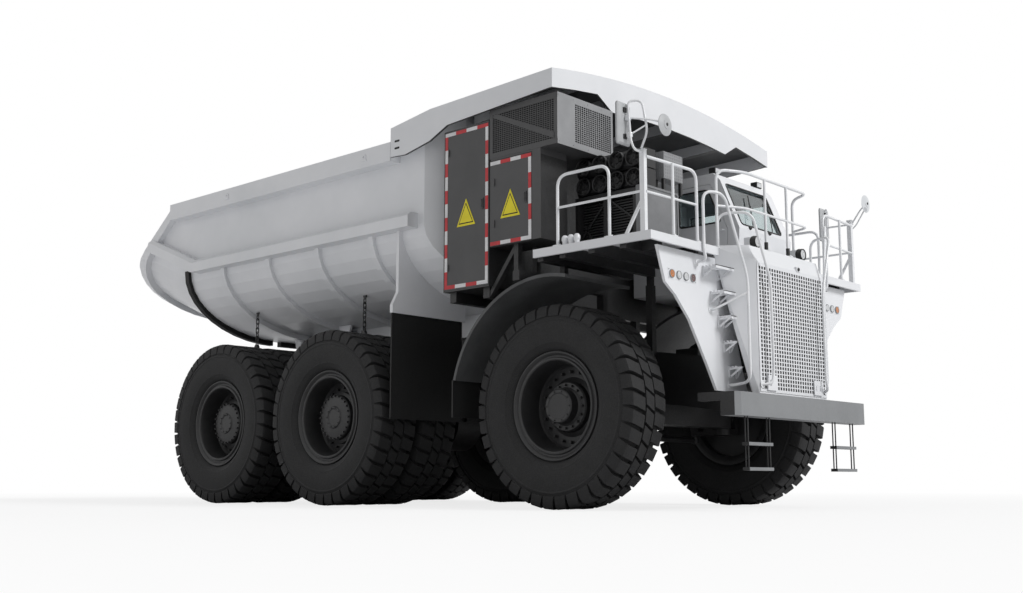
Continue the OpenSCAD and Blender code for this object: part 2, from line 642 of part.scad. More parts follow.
module bed_ribs() color(white) {
    for (x = concat(rib_x, [-bed_end + 56])) along_x(x - 55, x + 55) difference() {
        polygon(u_pts(side_y + 60, shell_b + 90, belly_z + 20));
        polygon(u_pts(seat_y, seat_b, belly_z + 100));
        for (e = [-1, 1]) translate([e * (rail_in + rail_w / 2), 2900]) square([rail_w - 40, 600],
            center = true);
    }
    both() {
        along_x(beam_end, -2490) polygon(beam_pts);
        translate([beam_end, 0, beam_z]) rotate([0, tail_rise, 0]) translate([0, 0, -beam_z])
            along_x(-1640, 0) polygon(beam_pts);
        along_x(tail_top + 60, -2900) translate([seat_y, bed_top - 290]) square([rail_y - seat_y, 290]);
        // Wing plates that carry the mud flaps
        along_x(-2900, -2840) difference() {
            polygon([[1200, 2830], [2720, 2830], [2720, 2950], [2610, 3150], [2610, 4200], [1200, 4200]]);
            polygon(u_pts(seat_y, seat_b, 4400));
        }
    }
    // Frame round the tail's end
    intersection() {
        tail_run(-3000) difference() {
            polygon(u_pts(side_y + 110, shell_b + 110, bed_top + 900));
            polygon(u_pts(seat_y, seat_b, bed_top + 950));
        }
        along_y(-big / 2, big / 2) polygon([[tail_top, bed_top], [-10300, 4500], [tail_x, 3950],
            [tail_x, 3300],
            [tail_x + 280, 3300], [tail_x + 280, 4020], [-10060, 4430], [tail_top + 250, bed_top]]);
    }
}
beam_end = -8250;
beam_z = 4075;
beam_pts = [[seat_y, beam_z], [rail_y, beam_z], [rail_y, beam_z + 165], [rail_y - 66, beam_z + 225],
    [seat_y, beam_z + 225]];
module bed_sills() color(white) both() {
    // Sills that rest on the frame
    box([-hinge_x + 300, rail_in + 20, sill_z], [-2350, rail_out - 20, belly_z - shell_b]);
    // Hinge plates either side of the frame's cheeks and the pin through them
    for (y = [rail_in - 45, rail_out - 5]) along_y(y, y + 50) polygon([[-hinge_x - 100, hinge_z - 80],
        [-hinge_x + 80, hinge_z - 80], [-hinge_x + 80, belly_at(max(y, belly_flat))],
            [-hinge_x - 160, belly_at(max(y, belly_flat))]]);
    rod([-hinge_x, rail_in - 60, hinge_z], [-hinge_x, rail_out + 60, hinge_z], pin_r);
    // Hoist ears
    for (y = [hoist_y - 145, hoist_y + 95]) along_y(y, y + 50) polygon([[hoist_bx - 80, hoist_bz - 80],
        [hoist_bx + 80, hoist_bz - 80], [hoist_bx + 160, belly_at(y)], [hoist_bx - 160, belly_at(y)]]);
}

function crown(y) = canopy_z + canopy_crown * (1 - pow(y / rail_y, 2));
crown_y = [for (i = [-8 : 8]) i * rail_y / 8];
function depth(y) = abs(y) > 1790 ? 270 : abs(y) < 1460 ? 490 : 270 + 220 * (1790 - abs(y)) / 330;
visor_y = [rail_y, 2300, 1790, 1460, 1000, 500, 0, -500, -1000, -1460, -1790, -2300, -rail_y];
module roof_slope() translate([canopy_front, 0, canopy_z]) rotate([0, -1.6, 0]) translate([0, 0,
    -canopy_z]) children();
module bed_canopy() color(white) {
    roof_slope() along_x(-bed_front - canopy_front - 60, -5) polygon(concat([for (y = crown_y) [y,
        crown(y) - 40]],
        [for (i = [16 : -1 : 0]) [crown_y[i], crown(crown_y[i])]]));
    along_x(canopy_front - 40, canopy_front) polygon(concat([for (y = crown_y) [y, crown(y)]],
        [for (y = visor_y) [y, crown(y) - depth(y)]]));
    both() along_y(rail_y - 40, rail_y) polygon([[-2894, bed_top - 240], [-2565, bed_top - 259],
        [-2047, bed_top - 156], [-1677, bed_top + 9], [canopy_front - 1, canopy_z - 265],
        [canopy_front - 1, canopy_z], [-2036, canopy_z - 64], [-2894, canopy_z - 182]]);
    both() roof_slope() for (y = [800, 1900]) box([-bed_front - canopy_front + 30, y - 60,
        crown(y) - 200], [-30, y + 60, crown(y) - 35]);
    // Head wall between the bed and the canopy
    intersection() {
        linear_extrude(big) difference() {
            polygon(plan);
            polygon([for (p = plan) [p.x - wall_t, p.y]]);
        }
        along_x(-2900, 0) polygon(concat([[-side_y, bed_top], [side_y, bed_top]],
            [for (i = [15 : -1 : 1]) [crown_y[i] * side_y / rail_y * 8 / 7, crown(crown_y[i]) - 90]]));
    }
}
module bed_flaps() color(dark) both() box([-2884, 1250, 1270], [-2860, 2710, 2830]);
module rock_ejectors() color(dark) both() difference() {
    y = rear_y - dual_gap / 2;
    for (x = [rear_x, mid_x]) box([x - 50, y - 24, 2150], [x + 50, y + 24, 3500]);
    along_x(-bed_end, 0) polygon(u_pts(side_y, shell_b, bed_top));
}

// Hoist cylinders
hoist_y = 945;
hoist_px = -hinge_x + 1070;
hoist_pz = tyre_r;
hoist_bx = -hinge_x + 1700;
hoist_bz = hinge_z;
module hoist_axis() {
    v = [hoist_bx - hoist_px, hoist_bz - hoist_pz];
    translate([hoist_px, 0, hoist_pz]) rotate([0, atan2(v.x, v.y), 0]) children();
}
hoist_l = norm([hoist_bx - hoist_px, hoist_bz - hoist_pz]);
module hoist_barrel(side) color(grey) translate([0, side * hoist_y, 0]) hoist_axis() difference() {
    union() {
        translate([0, 0, 60]) cylinder(h = hoist_l - 260, r = 115);
        rotate([90, 0, 0]) cylinder(h = 150, r = 115, center = true);
    }
    rotate([90, 0, 0]) cylinder(h = 400, r = 70 + run_gap, center = true);
    translate([0, 0, 140]) cylinder(h = hoist_l, r = 80 + run_gap);
}
module hoist_rod(side) color([0.8, 0.8, 0.8]) translate([0, side * hoist_y, 0]) hoist_axis() {
    translate([0, 0, 150]) cylinder(h = hoist_l - 200, r = 80);
    translate([0, 0, hoist_l]) rotate([90, 0, 0]) cylinder(h = 170, r = 100, center = true);
}
module hoist_barrel_right() hoist_barrel(-1);
module hoist_barrel_left() hoist_barrel(1);
module hoist_rod_right() hoist_rod(-1);
module hoist_rod_left() hoist_rod(1);

place() frame();
place() drive_motor();
place() front_axle();
place() rear_axles();
place() suspension();
place() bumper();
place() boarding_ladders();
place() hood();
place() grille();
place() fender_panels();
place() stair_steps();
place() deck();
place() deck_frame();
place() handrails();
place() mirrors();
place() cab_shell();
place() cab_glass();
place() cab_interior();
place() equipment_cabinets();
place() vent_box();
place() fan_bank();
place() cooling_unit();
place() wheel_arches();
place() arch_flaps();
place() lamps();
place() cab_door();
place() door_glass();
place() knuckle_right();
place() knuckle_left();
place() tie_rod();
place() tyre_front_right();
place() tyre_front_left();
place() hub_front_right();
place() hub_front_left();
place() tyres_middle_right();
place() tyres_middle_left();
place() hub_middle_right();
place() hub_middle_left();
place() tyres_rear_right();
place() tyres_rear_left();
place() hub_rear_right();
place() hub_rear_left();
place() bed_shell();
place() bed_ribs();
place() bed_sills();
place() bed_canopy();
place() bed_flaps();
place() rock_ejectors();
place() hoist_barrel_right();
place() hoist_barrel_left();
place() hoist_rod_right();
place() hoist_rod_left();
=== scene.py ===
import math

import bmesh
import bpy
from mathutils import Matrix, Vector


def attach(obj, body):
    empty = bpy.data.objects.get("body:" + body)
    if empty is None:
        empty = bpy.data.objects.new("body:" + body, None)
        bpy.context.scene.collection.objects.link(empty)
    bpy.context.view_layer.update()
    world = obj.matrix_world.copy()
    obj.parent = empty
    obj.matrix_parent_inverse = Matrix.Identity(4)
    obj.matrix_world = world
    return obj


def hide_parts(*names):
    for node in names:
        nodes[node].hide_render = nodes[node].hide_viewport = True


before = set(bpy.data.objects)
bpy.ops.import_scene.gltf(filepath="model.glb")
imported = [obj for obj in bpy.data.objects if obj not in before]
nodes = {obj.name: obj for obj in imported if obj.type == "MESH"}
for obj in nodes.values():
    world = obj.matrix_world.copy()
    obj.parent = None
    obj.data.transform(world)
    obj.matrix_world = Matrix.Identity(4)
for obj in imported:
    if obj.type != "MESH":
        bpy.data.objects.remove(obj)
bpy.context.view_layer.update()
scene = bpy.context.scene
scene.view_settings.view_transform = "Standard"
axleX = 4.185  # front axle's place along the truck; pieces are drawn from the axle
print("frame loaded", len(nodes), "nodes")


# Colours and materials

def hexLinear(code):
    parts = [int(code[i:i + 2], 16) / 255 for i in (0, 2, 4)]
    return tuple(c / 12.92 if c <= 0.04045 else ((c + 0.055) / 1.055) ** 2.4 for c in parts) + (1.0,)


def addNode(tree, kind, settings=None, inputs=None):
    node = tree.nodes.new(kind)
    for key, value in (settings or {}).items():
        setattr(node, key, value)
    for key, value in (inputs or {}).items():
        if isinstance(value, bpy.types.NodeSocket):
            tree.links.new(value, node.inputs[key])
        else:
            node.inputs[key].default_value = value
    return node


def makeFinish(name, light, deep, cloudMm, grainMm, rough, bump, metal=0.0, coat=0.0):
    # cloudMm is the size of the colour drift, grainMm the size of the surface's own grain.
    # IOR stays at 1.5, which suits enamel, rubber, ABS and acrylic alike
    mat = bpy.data.materials.new(name)
    mat.use_nodes = True
    tree = mat.node_tree
    shader = tree.nodes["Principled BSDF"]
    place = addNode(tree, "ShaderNodeTexCoord")
    cloud = addNode(tree, "ShaderNodeTexNoise", None,
                    {"Vector": place.outputs["Object"], "Scale": 1000 / cloudMm,
                     "Detail": 4.0, "Roughness": 0.6})
    drift = addNode(tree, "ShaderNodeMapRange", None,
                    {"Value": cloud.outputs["Fac"], "From Min": 0.35, "From Max": 0.65})
    tint = addNode(tree, "ShaderNodeMix", {"data_type": "RGBA"},
                   {0: drift.outputs[0], 6: hexLinear(light), 7: hexLinear(deep)})
    grain = addNode(tree, "ShaderNodeTexNoise", None,
                    {"Vector": place.outputs["Object"], "Scale": 1000 / grainMm, "Detail": 2.0})
    gloss = addNode(tree, "ShaderNodeMapRange", None,
                    {"Value": grain.outputs["Fac"], "From Min": 0.3, "From Max": 0.7,
                     "To Min": rough[0], "To Max": rough[1]})
    relief = addNode(tree, "ShaderNodeBump", None,
                     {"Strength": bump, "Distance": 0.002, "Height": grain.outputs["Fac"]})
    tree.links.new(tint.outputs[2], shader.inputs["Base Color"])
    tree.links.new(gloss.outputs[0], shader.inputs["Roughness"])
    tree.links.new(relief.outputs["Normal"], shader.inputs["Normal"])
    shader.inputs["Metallic"].default_value = metal
    shader.inputs["Coat Weight"].default_value = coat
    shader.inputs["Coat Roughness"].default_value = 0.12
    return mat


# Two-pack enamel sprayed on steel: even white, soft gloss, faint orange peel (8 mm, drawn at 40 mm)
whiteEnamel = makeFinish("SprayedWhiteEnamel", "E8E9EC", "DDDFE2", 1800, 40, (0.30, 0.40), 0.04, coat=0.2)
# Rail tube in the same enamel, a little brighter where hands polish it
railEnamel = makeFinish("RailWhiteEnamel", "EDEEF0", "E1E3E6", 300, 20, (0.25, 0.36), 0.03, coat=0.25)
# Grey chassis enamel on the bumper's folded plate
bumperEnamel = makeFinish("BumperGreyEnamel", "828486", "77797B", 900, 30, (0.38, 0.50), 0.05)
# Powder coat on cabinet doors: dark grey, fine texture (2 mm, drawn at 12 mm)
cabinetCoat = makeFinish("CabinetPowderCoat", "4A4A4B", "424243", 700, 12, (0.48, 0.60), 0.06)
# Lighter powder coat on ventilation housings
ventCoat = makeFinish("VentPowderCoat", "949597", "87888A", 600, 12, (0.45, 0.56), 0.06)
# Grey paint of radiator boxes, darkened as painted shade
coolerShadeGrey = makeFinish("CoolerShadeGrey", "7B7C7E", "6D6E70", 500, 15, (0.45, 0.58), 0.05)
# Black chassis enamel with road film
chassisEnamel = makeFinish("ChassisBlackEnamel", "202021", "171718", 400, 25, (0.42, 0.60), 0.08)
# Cast steel hubs and rims, black satin paint over casting skin (6 mm, drawn at 18 mm)
rimEnamel = makeFinish("RimBlackEnamel", "262627", "1C1C1D", 350, 18, (0.40, 0.55), 0.10)
# Carbon-black tyre rubber, moulded: matte with a slight bloom
tyreRubber = makeFinish("MouldedTyreRubber", "19191A", "121213", 220, 14, (0.72, 0.88), 0.16)
# Extruded rubber sheet of mud flaps
sheetRubber = makeFinish("ExtrudedSheetRubber", "0E0E0F", "090909", 300, 10, (0.60, 0.75), 0.08)
# Hard chromed rod, ground
rodChrome = makeFinish("GroundHardChrome", "C9CBCE", "B7B9BC", 200, 8, (0.12, 0.20), 0.02, metal=1.0)
# Moulded black ABS of fans, lamp housings and seats' shells
mouldedAbs = makeFinish("MouldedBlackAbs", "1A1A1B", "121213", 160, 6, (0.42, 0.56), 0.06)
# Galvanised fixings and small steel parts
zincSteel = makeFinish("ZincPlatedSteel", "A6A8AA", "8C8E90", 60, 6, (0.32, 0.48), 0.05, metal=1.0)
# Retro-reflective tape, red and white
tapeRed = makeFinish("ReflectiveTapeRed", "C4252D", "B31F27", 120, 5, (0.30, 0.40), 0.03)
tapeWhite = makeFinish("ReflectiveTapeWhite", "E4E4E5", "D6D6D8", 120, 5, (0.30, 0.40), 0.03)
# Yellow vinyl plates, screen printed: flat and slightly glossy
vinylYellow = makeFinish("YellowVinylPlate", "EEDF1E", "E2D214", 200, 6, (0.32, 0.42), 0.02)
# Moulded amber and clear lamp lenses
lensAmber = makeFinish("AmberAcrylicLens", "C9772A", "A85F1F", 60, 5, (0.12, 0.20), 0.05, coat=0.4)
lensClear = makeFinish("ClearAcrylicLens", "D7D8DA", "BFC1C3", 50, 5, (0.10, 0.18), 0.08, coat=0.4)
# Smoked tail lens
lensDark = makeFinish("SmokedAcrylicLens", "6B4A44", "54393A", 60, 5, (0.12, 0.20), 0.05, coat=0.4)
# Pale powder coat on mirror housings
ventLight = makeFinish("PalePowderCoat", "B4B6B8", "A6A8AA", 300, 12, (0.42, 0.54), 0.05)
# Dark grey on the arch plates, which stand in the deck's shade; the same grey is painted shade on the
# canopy's downward faces
archGreyAndPaintedShade = makeFinish("ArchGreyAndPaintedShade", "4E4F50", "3E3F40", 500, 20, (0.45, 0.58), 0.06)
# Silvered mirror
mirrorSilver = makeFinish("SilveredMirror", "D9DCDF", "D2D5D8", 500, 40, (0.02, 0.05), 0.0, metal=1.0)


def makeGlass(name, code, rough):
    # Laminated float glass, faint grey-green tint; slight waviness
    mat = bpy.data.materials.new(name)
    mat.use_nodes = True
    tree = mat.node_tree
    shader = tree.nodes["Principled BSDF"]
    place = addNode(tree, "ShaderNodeTexCoord")
    wave = addNode(tree, "ShaderNodeTexNoise", None, {"Vector": place.outputs["Object"], "Scale": 2.5})
    relief = addNode(tree, "ShaderNodeBump", None,
                     {"Strength": 0.02, "Distance": 0.001, "Height": wave.outputs["Fac"]})
    tree.links.new(relief.outputs["Normal"], shader.inputs["Normal"])
    shader.inputs["Base Color"].default_value = hexLinear(code)
    shader.inputs["Roughness"].default_value = rough
    shader.inputs["Transmission Weight"].default_value = 1.0
    shader.inputs["IOR"].default_value = 1.45
    return mat


cabGlass = makeGlass("LaminatedCabGlass", "D3DCDD", 0.02)
print("materials made")


# Mesh tools: a part collects points and faces, drawn from the front axle

def newPart():
    return {"points": [], "faces": [], "slots": []}


def addFaces(part, points, faces, slot=0):
    base = len(part["points"])
    part["points"] += [tuple(p) for p in points]
    part["faces"] += [tuple(base + i for i in f) for f in faces]
    part["slots"] += [slot] * len(faces)


def addBox(part, low, high, slot=0):
    (a, b, c), (d, e, f) = low, high
    points = [(x, y, z) for z in (c, f) for x, y in ((a, b), (d, b), (d, e), (a, e))]
    sides = [(3, 2, 1, 0), (4, 5, 6, 7), (0, 1, 5, 4), (1, 2, 6, 5), (2, 3, 7, 6), (3, 0, 4, 7)]
    addFaces(part, points, sides, slot)


def addSideBox(part, side, low, high, slot=0):
    # Box given for the left of the truck; side -1 mirrors it to the right
    y0, y1 = sorted((side * low[1], side * high[1]))
    addBox(part, (low[0], y0, low[2]), (high[0], y1, high[2]), slot)


def prismFaces(n):
    ends = [tuple(range(n)), tuple(range(2 * n - 1, n - 1, -1))]
    return ends + [(i, i + n, (i + 1) % n + n, (i + 1) % n) for i in range(n)]


def addPrism(part, outline, axis, start, end, slot=0):
    # outline is drawn in the two other axes, in x, y, z order
    def lift(p, s):
        return {"x": (s, p[0], p[1]), "y": (p[0], s, p[1]), "z": (p[0], p[1], s)}[axis]
    points = [lift(p, start) for p in outline] + [lift(p, end) for p in outline]
    addFaces(part, points, prismFaces(len(outline)), slot)


def roundPath(path, bend, steps=5):
    # Corners of a bent tube become arcs of about that radius
    path = [Vector(p) for p in path]
    out = [path[0]]
    for a, b, c in zip(path, path[1:], path[2:]):
        u, v = (a - b), (c - b)
        reach = min(bend, u.length * 0.45, v.length * 0.45)
        p, q = b + u.normalized() * reach, b + v.normalized() * reach
        for i in range(steps + 1):
            t = i / steps
            out.append(p.lerp(b, t).lerp(b.lerp(q, t), t))
    return out + [path[-1]]


def addTube(part, path, radius, slot=0, sides=10, bend=0.0, steps=5):
    # Round tube with flat ends; its rings are mitred at the corners that bend leaves
    path = roundPath(path, bend, steps) if bend else [Vector(p) for p in path]
    way = (path[1] - path[0]).normalized()
    side = way.orthogonal().normalized()
    rings = []
    for i, p in enumerate(path):
        before = (p - path[i - 1]).normalized() if i else way
        after = (path[i + 1] - p).normalized() if i < len(path) - 1 else before
        now = (before + after).normalized() if (before + after).length > 1e-6 else after
        side = (side - now * side.dot(now)).normalized()
        up = now.cross(side)
        stretch = 1 / max(0.6, math.sqrt(max(0.0, (1 + before.dot(after)) / 2)))
        lean = (before - after)
        lean = lean.normalized() if lean.length > 1e-6 else side
        ring = []
        for k in range(sides):
            t = 2 * math.pi * k / sides
            o = side * math.cos(t) * radius + up * math.sin(t) * radius
            ring.append(p + o + lean * o.dot(lean) * (stretch - 1))
        rings.append(ring)
    points = [q for ring in rings for q in ring]
    n = sides
    faces = [tuple(range(n - 1, -1, -1)), tuple(range((len(rings) - 1) * n, len(rings) * n))]
    for i in range(len(rings) - 1):
        for k in range(n):
            j = (k + 1) % n
            faces.append((i * n + k, i * n + j, (i + 1) * n + j, (i + 1) * n + k))
    addFaces(part, points, faces, slot)


def addLathe(part, profile, centre, axis, segments=48, slot=0, closed=True):
    # profile is radius, reach along axis; closed joins its last point to its first
    axis = Vector(axis).normalized()
    side = axis.orthogonal().normalized()
    up = axis.cross(side)
    centre = Vector(centre)
    n = len(profile)
    points, faces = [], []
    for s in range(segments):
        t = 2 * math.pi * s / segments
        out = side * math.cos(t) + up * math.sin(t)
        points += [centre + out * r + axis * h for r, h in profile]
    for s in range(segments):
        q = (s + 1) % segments
        for i in range(n if closed else n - 1):
            j = (i + 1) % n
            faces.append((s * n + i, q * n + i, q * n + j, s * n + j))
    addFaces(part, points, faces, slot)


def addDisc(part, centre, axis, radius, height, segments=6, slot=0):
    addLathe(part, [(0, 0), (radius, 0), (radius, height), (0, height)], centre, axis, segments, slot)


def finishPiece(part, name, finishes, body, replaces=(), angle=35, bevel=0.0):
    # Turns a part into an object at the origin that rides a body; edges sharper than angle stay sharp
    mesh = bpy.data.meshes.new(name)
    mesh.from_pydata([(x + axleX, y, z) for x, y, z in part["points"]], [], part["faces"])
    for finish in finishes:
        mesh.materials.append(finish)
    mesh.polygons.foreach_set("material_index", part["slots"])
    form = bmesh.new()
    form.from_mesh(mesh)
    bmesh.ops.remove_doubles(form, verts=form.verts, dist=0.00001)
    bmesh.ops.dissolve_degenerate(form, edges=form.edges, dist=0.00001)
    bmesh.ops.recalc_face_normals(form, faces=form.faces)
    form.to_mesh(mesh)
    form.free()
    mesh.shade_smooth()
    mesh.set_sharp_from_angle(angle=math.radians(angle))
    piece = bpy.data.objects.new(name, mesh)
    scene.collection.objects.link(piece)
    if bevel:
        edge = piece.modifiers.new("EdgeRound", "BEVEL")
        edge.width = bevel
        edge.segments = 2
        edge.limit_method = "ANGLE"
        edge.angle_limit = math.radians(40)
    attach(piece, body)
    if replaces:
        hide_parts(*([replaces] if isinstance(replaces, str) else replaces))
    return piece


# Geometry Nodes trees for what repeats

def startTree(name, inputs):
    tree = bpy.data.node_groups.new(name, "GeometryNodeTree")
    for label, kind in inputs:
        tree.interface.new_socket(name=label, in_out="INPUT", socket_type=kind)
    tree.interface.new_socket(name="Geometry", in_out="OUTPUT", socket_type="NodeSocketGeometry")
    return tree, addNode(tree, "NodeGroupInput")


def endTree(tree, source, points, spin=None):
    info = addNode(tree, "GeometryNodeObjectInfo", None, {"Object": source.outputs["Piece"]})
    copies = addNode(tree, "GeometryNodeInstanceOnPoints", None,
                     {"Points": points, "Instance": info.outputs["Geometry"]})
    if spin is not None:
        tree.links.new(spin, copies.inputs["Rotation"])
    real = addNode(tree, "GeometryNodeRealizeInstances", None, {"Geometry": copies.outputs["Instances"]})
    paint = addNode(tree, "GeometryNodeSetMaterial", None,
                    {"Geometry": real.outputs["Geometry"], "Material": source.outputs["Finish"]})
    addNode(tree, "NodeGroupOutput", None, {"Geometry": paint.outputs["Geometry"]})
    return tree


def makeRingTree():
    # Copies of a piece round a circle, each turned to face outwards
    tree, source = startTree("RingOfPieces", [
        ("Count", "NodeSocketInt"), ("Radius", "NodeSocketFloat"),
        ("Piece", "NodeSocketObject"), ("Finish", "NodeSocketMaterial")])
    circle = addNode(tree, "GeometryNodeMeshCircle", None,
                     {"Vertices": source.outputs["Count"], "Radius": source.outputs["Radius"]})
    index = addNode(tree, "GeometryNodeInputIndex")
    share = addNode(tree, "ShaderNodeMath", {"operation": "DIVIDE"},
                    {0: index.outputs[0], 1: source.outputs["Count"]})
    angle = addNode(tree, "ShaderNodeMath", {"operation": "MULTIPLY"}, {0: share.outputs[0], 1: 2 * math.pi})
    spin = addNode(tree, "ShaderNodeCombineXYZ", None, {"Z": angle.outputs[0]})
    return endTree(tree, source, circle.outputs["Mesh"], spin.outputs[0])


def makeGridTree():
    # Copies of a piece in rows and columns
    tree, source = startTree("RowsOfPieces", [
        ("Columns", "NodeSocketInt"), ("Rows", "NodeSocketInt"),
        ("Width", "NodeSocketFloat"), ("Height", "NodeSocketFloat"),
        ("Piece", "NodeSocketObject"), ("Finish", "NodeSocketMaterial")])
    grid = addNode(tree, "GeometryNodeMeshGrid", None,
                   {"Size X": source.outputs["Width"], "Size Y": source.outputs["Height"],
                    "Vertices X": source.outputs["Columns"], "Vertices Y": source.outputs["Rows"]})
    return endTree(tree, source, grid.outputs["Mesh"])


ringTree = makeRingTree()
gridTree = makeGridTree()


def runTree(tree, values, part, turn, slot=0):
    # values holds the named inputs; "Piece" is a part, which becomes a small mesh of its own
    seed = values["Piece"]
    mesh = bpy.data.meshes.new("SeedMesh")
    mesh.from_pydata(seed["points"], [], seed["faces"])
    seedObject = bpy.data.objects.new("SeedPiece", mesh)
    holder = bpy.data.objects.new("TreeHolder", bpy.data.meshes.new("TreeHolder"))
    for thing in (seedObject, holder):
        scene.collection.objects.link(thing)
    modifier = holder.modifiers.new("Tree", "NODES")
    modifier.node_group = tree
    for socket in tree.interface.items_tree:
        if socket.in_out == "INPUT":
            value = seedObject if socket.name == "Piece" else values.get(socket.name)
            modifier[socket.identifier] = value
    result = bpy.data.meshes.new_from_object(holder.evaluated_get(bpy.context.evaluated_depsgraph_get()))
    addFaces(part, [turn @ v.co for v in result.vertices], [tuple(p.vertices) for p in result.polygons], slot)
    holder.modifiers.remove(modifier)
    for thing in (holder, seedObject):
        bpy.data.objects.remove(thing)
    bpy.data.meshes.remove(result)


def standOn(centre, normal, up=(0, 0, 1)):
    # Matrix that lays a tree's flat layout on a face: its Z along normal, its Y along up
    z = Vector(normal).normalized()
    y = (Vector(up) - z * Vector(up).dot(z)).normalized()
    x = y.cross(z)
    return Matrix.Translation(Vector(centre)) @ Matrix((x, y, z)).transposed().to_4x4()


# Paint on the CAD pieces that stay

paintOf = {"frame": chassisEnamel, "drive_motor": chassisEnamel, "front_axle": chassisEnamel,
           "rear_axles": chassisEnamel, "suspension": chassisEnamel, "deck_frame": chassisEnamel,
           "boarding_ladders": chassisEnamel, "knuckle_right": chassisEnamel, "knuckle_left": chassisEnamel,
           "tie_rod": chassisEnamel, "rock_ejectors": chassisEnamel,
           "wheel_arches": archGreyAndPaintedShade, "bumper": bumperEnamel, "equipment_cabinets": cabinetCoat,
           "vent_box": ventCoat, "cooling_unit": coolerShadeGrey,
           "fan_bank": mouldedAbs, "mirrors": mouldedAbs, "cab_interior": mouldedAbs, "lamps": zincSteel,
           "cab_glass": cabGlass, "door_glass": cabGlass, "arch_flaps": sheetRubber, "bed_flaps": sheetRubber,
           "hoist_rod_right": rodChrome, "hoist_rod_left": rodChrome,
           "hoist_barrel_right": chassisEnamel, "hoist_barrel_left": chassisEnamel}
for name, node in nodes.items():
    finish = paintOf.get(name, whiteEnamel)
    if name.startswith("tyre"):
        finish = tyreRubber
    if name.startswith("hub"):
        finish = rimEnamel
    node.data.materials.clear()
    node.data.materials.append(finish)
print("CAD pieces painted")


# Studio: pale floor, soft light, camera

studio = {"floorHalf": 120.0, "floor": "F4F4F5", "glowNear": 8.0, "glowFar": 24.0, "glowLeast": 0.80,
          "sun": 2.0, "sunSpread": 18, "sunWay": (-0.80, -0.22, -0.62), "fill": 0.36,
          "lens": 41.475, "eye": (14.272, -14.216, 0.370), "aim": (-0.66785, 0.72802, 0.15480)}


def makeStudio():
    mesh = bpy.data.meshes.new("StudioFloor")
    h = studio["floorHalf"]
    mesh.from_pydata([(-h, -h, 0), (h, -h, 0), (h, h, 0), (-h, h, 0)], [], [(0, 1, 2, 3)])
    floor = bpy.data.objects.new("StudioFloor", mesh)
    scene.collection.objects.link(floor)
    mat = bpy.data.materials.new("StudioFloorPaper")
    mat.use_nodes = True
    tree = mat.node_tree
    shader = tree.nodes["Principled BSDF"]
    shader.inputs["Base Color"].default_value = hexLinear(studio["floor"])
    shader.inputs["Roughness"].default_value = 0.9
    shader.inputs["Specular IOR Level"].default_value = 0.1
    path = addNode(tree, "ShaderNodeLightPath")
    place = addNode(tree, "ShaderNodeTexCoord")
    away = addNode(tree, "ShaderNodeVectorMath", {"operation": "LENGTH"}, {0: place.outputs["Object"]})
    share = addNode(tree, "ShaderNodeMapRange", None,
                    {"Value": away.outputs["Value"], "From Min": studio["glowNear"],
                     "From Max": studio["glowFar"], "To Min": studio["glowLeast"], "To Max": 1.0})
    seen = addNode(tree, "ShaderNodeMath", {"operation": "MULTIPLY"},
                   {0: path.outputs["Is Camera Ray"], 1: share.outputs[0]})
    glow = addNode(tree, "ShaderNodeEmission", None, {"Color": (1, 1, 1, 1), "Strength": 1.0})
    blend = addNode(tree, "ShaderNodeMixShader", None,
                    {0: seen.outputs[0], 1: shader.outputs[0], 2: glow.outputs[0]})
    tree.links.new(blend.outputs[0], tree.nodes["Material Output"].inputs["Surface"])
    mesh.materials.append(mat)

    world = bpy.data.worlds.new("StudioWorld")
    scene.world = world
    world.use_nodes = True
    tree = world.node_tree
    path = addNode(tree, "ShaderNodeLightPath")
    mirrored = addNode(tree, "ShaderNodeMath", {"operation": "MAXIMUM"},
                       {0: path.outputs["Is Glossy Ray"], 1: path.outputs["Is Transmission Ray"]})
    plain = addNode(tree, "ShaderNodeMath", {"operation": "MAXIMUM"},
                    {0: mirrored.outputs[0], 1: path.outputs["Is Camera Ray"]})
    soft = tree.nodes["Background"]
    soft.inputs["Color"].default_value = (1, 1, 1, 1)
    soft.inputs["Strength"].default_value = studio["fill"]
    white = addNode(tree, "ShaderNodeBackground", None, {"Color": (1, 1, 1, 1), "Strength": 1.0})
    blend = addNode(tree, "ShaderNodeMixShader", None,
                    {0: plain.outputs[0], 1: soft.outputs[0], 2: white.outputs[0]})
    tree.links.new(blend.outputs[0], tree.nodes["World Output"].inputs["Surface"])

    key = bpy.data.lights.new("KeySun", "SUN")
    key.energy = studio["sun"]
    key.angle = math.radians(studio["sunSpread"])
    lamp = bpy.data.objects.new("KeySun", key)
    lamp.rotation_euler = Vector(studio["sunWay"]).to_track_quat("-Z", "Y").to_euler()
    scene.collection.objects.link(lamp)

    lens = bpy.data.cameras.new("PhotoCamera")
    lens.sensor_fit = "HORIZONTAL"
    lens.sensor_width = 36.0
    lens.lens = studio["lens"]
    lens.clip_end = 500
    camera = bpy.data.objects.new("PhotoCamera", lens)
    camera.location = studio["eye"]
    camera.rotation_euler = Vector(studio["aim"]).to_track_quat("-Z", "Y").to_euler()
    scene.collection.objects.link(camera)
    scene.camera = camera


makeStudio()
print("studio made")


# Tyres: carcass turned from one outline, tread blocks set round it

tyreSizes = {"base": 1.288, "groove": 1.272, "lugs": 38, "twinStep": 0.840, "middle": 1.350, "segments": 84,
             "shoulderHalf": 0.083, "shoulderShear": 0.22, "shoulderTurn": 0.25,
             "middleHalf": 0.092, "middleShear": 0.5, "middleTurn": 0.1}
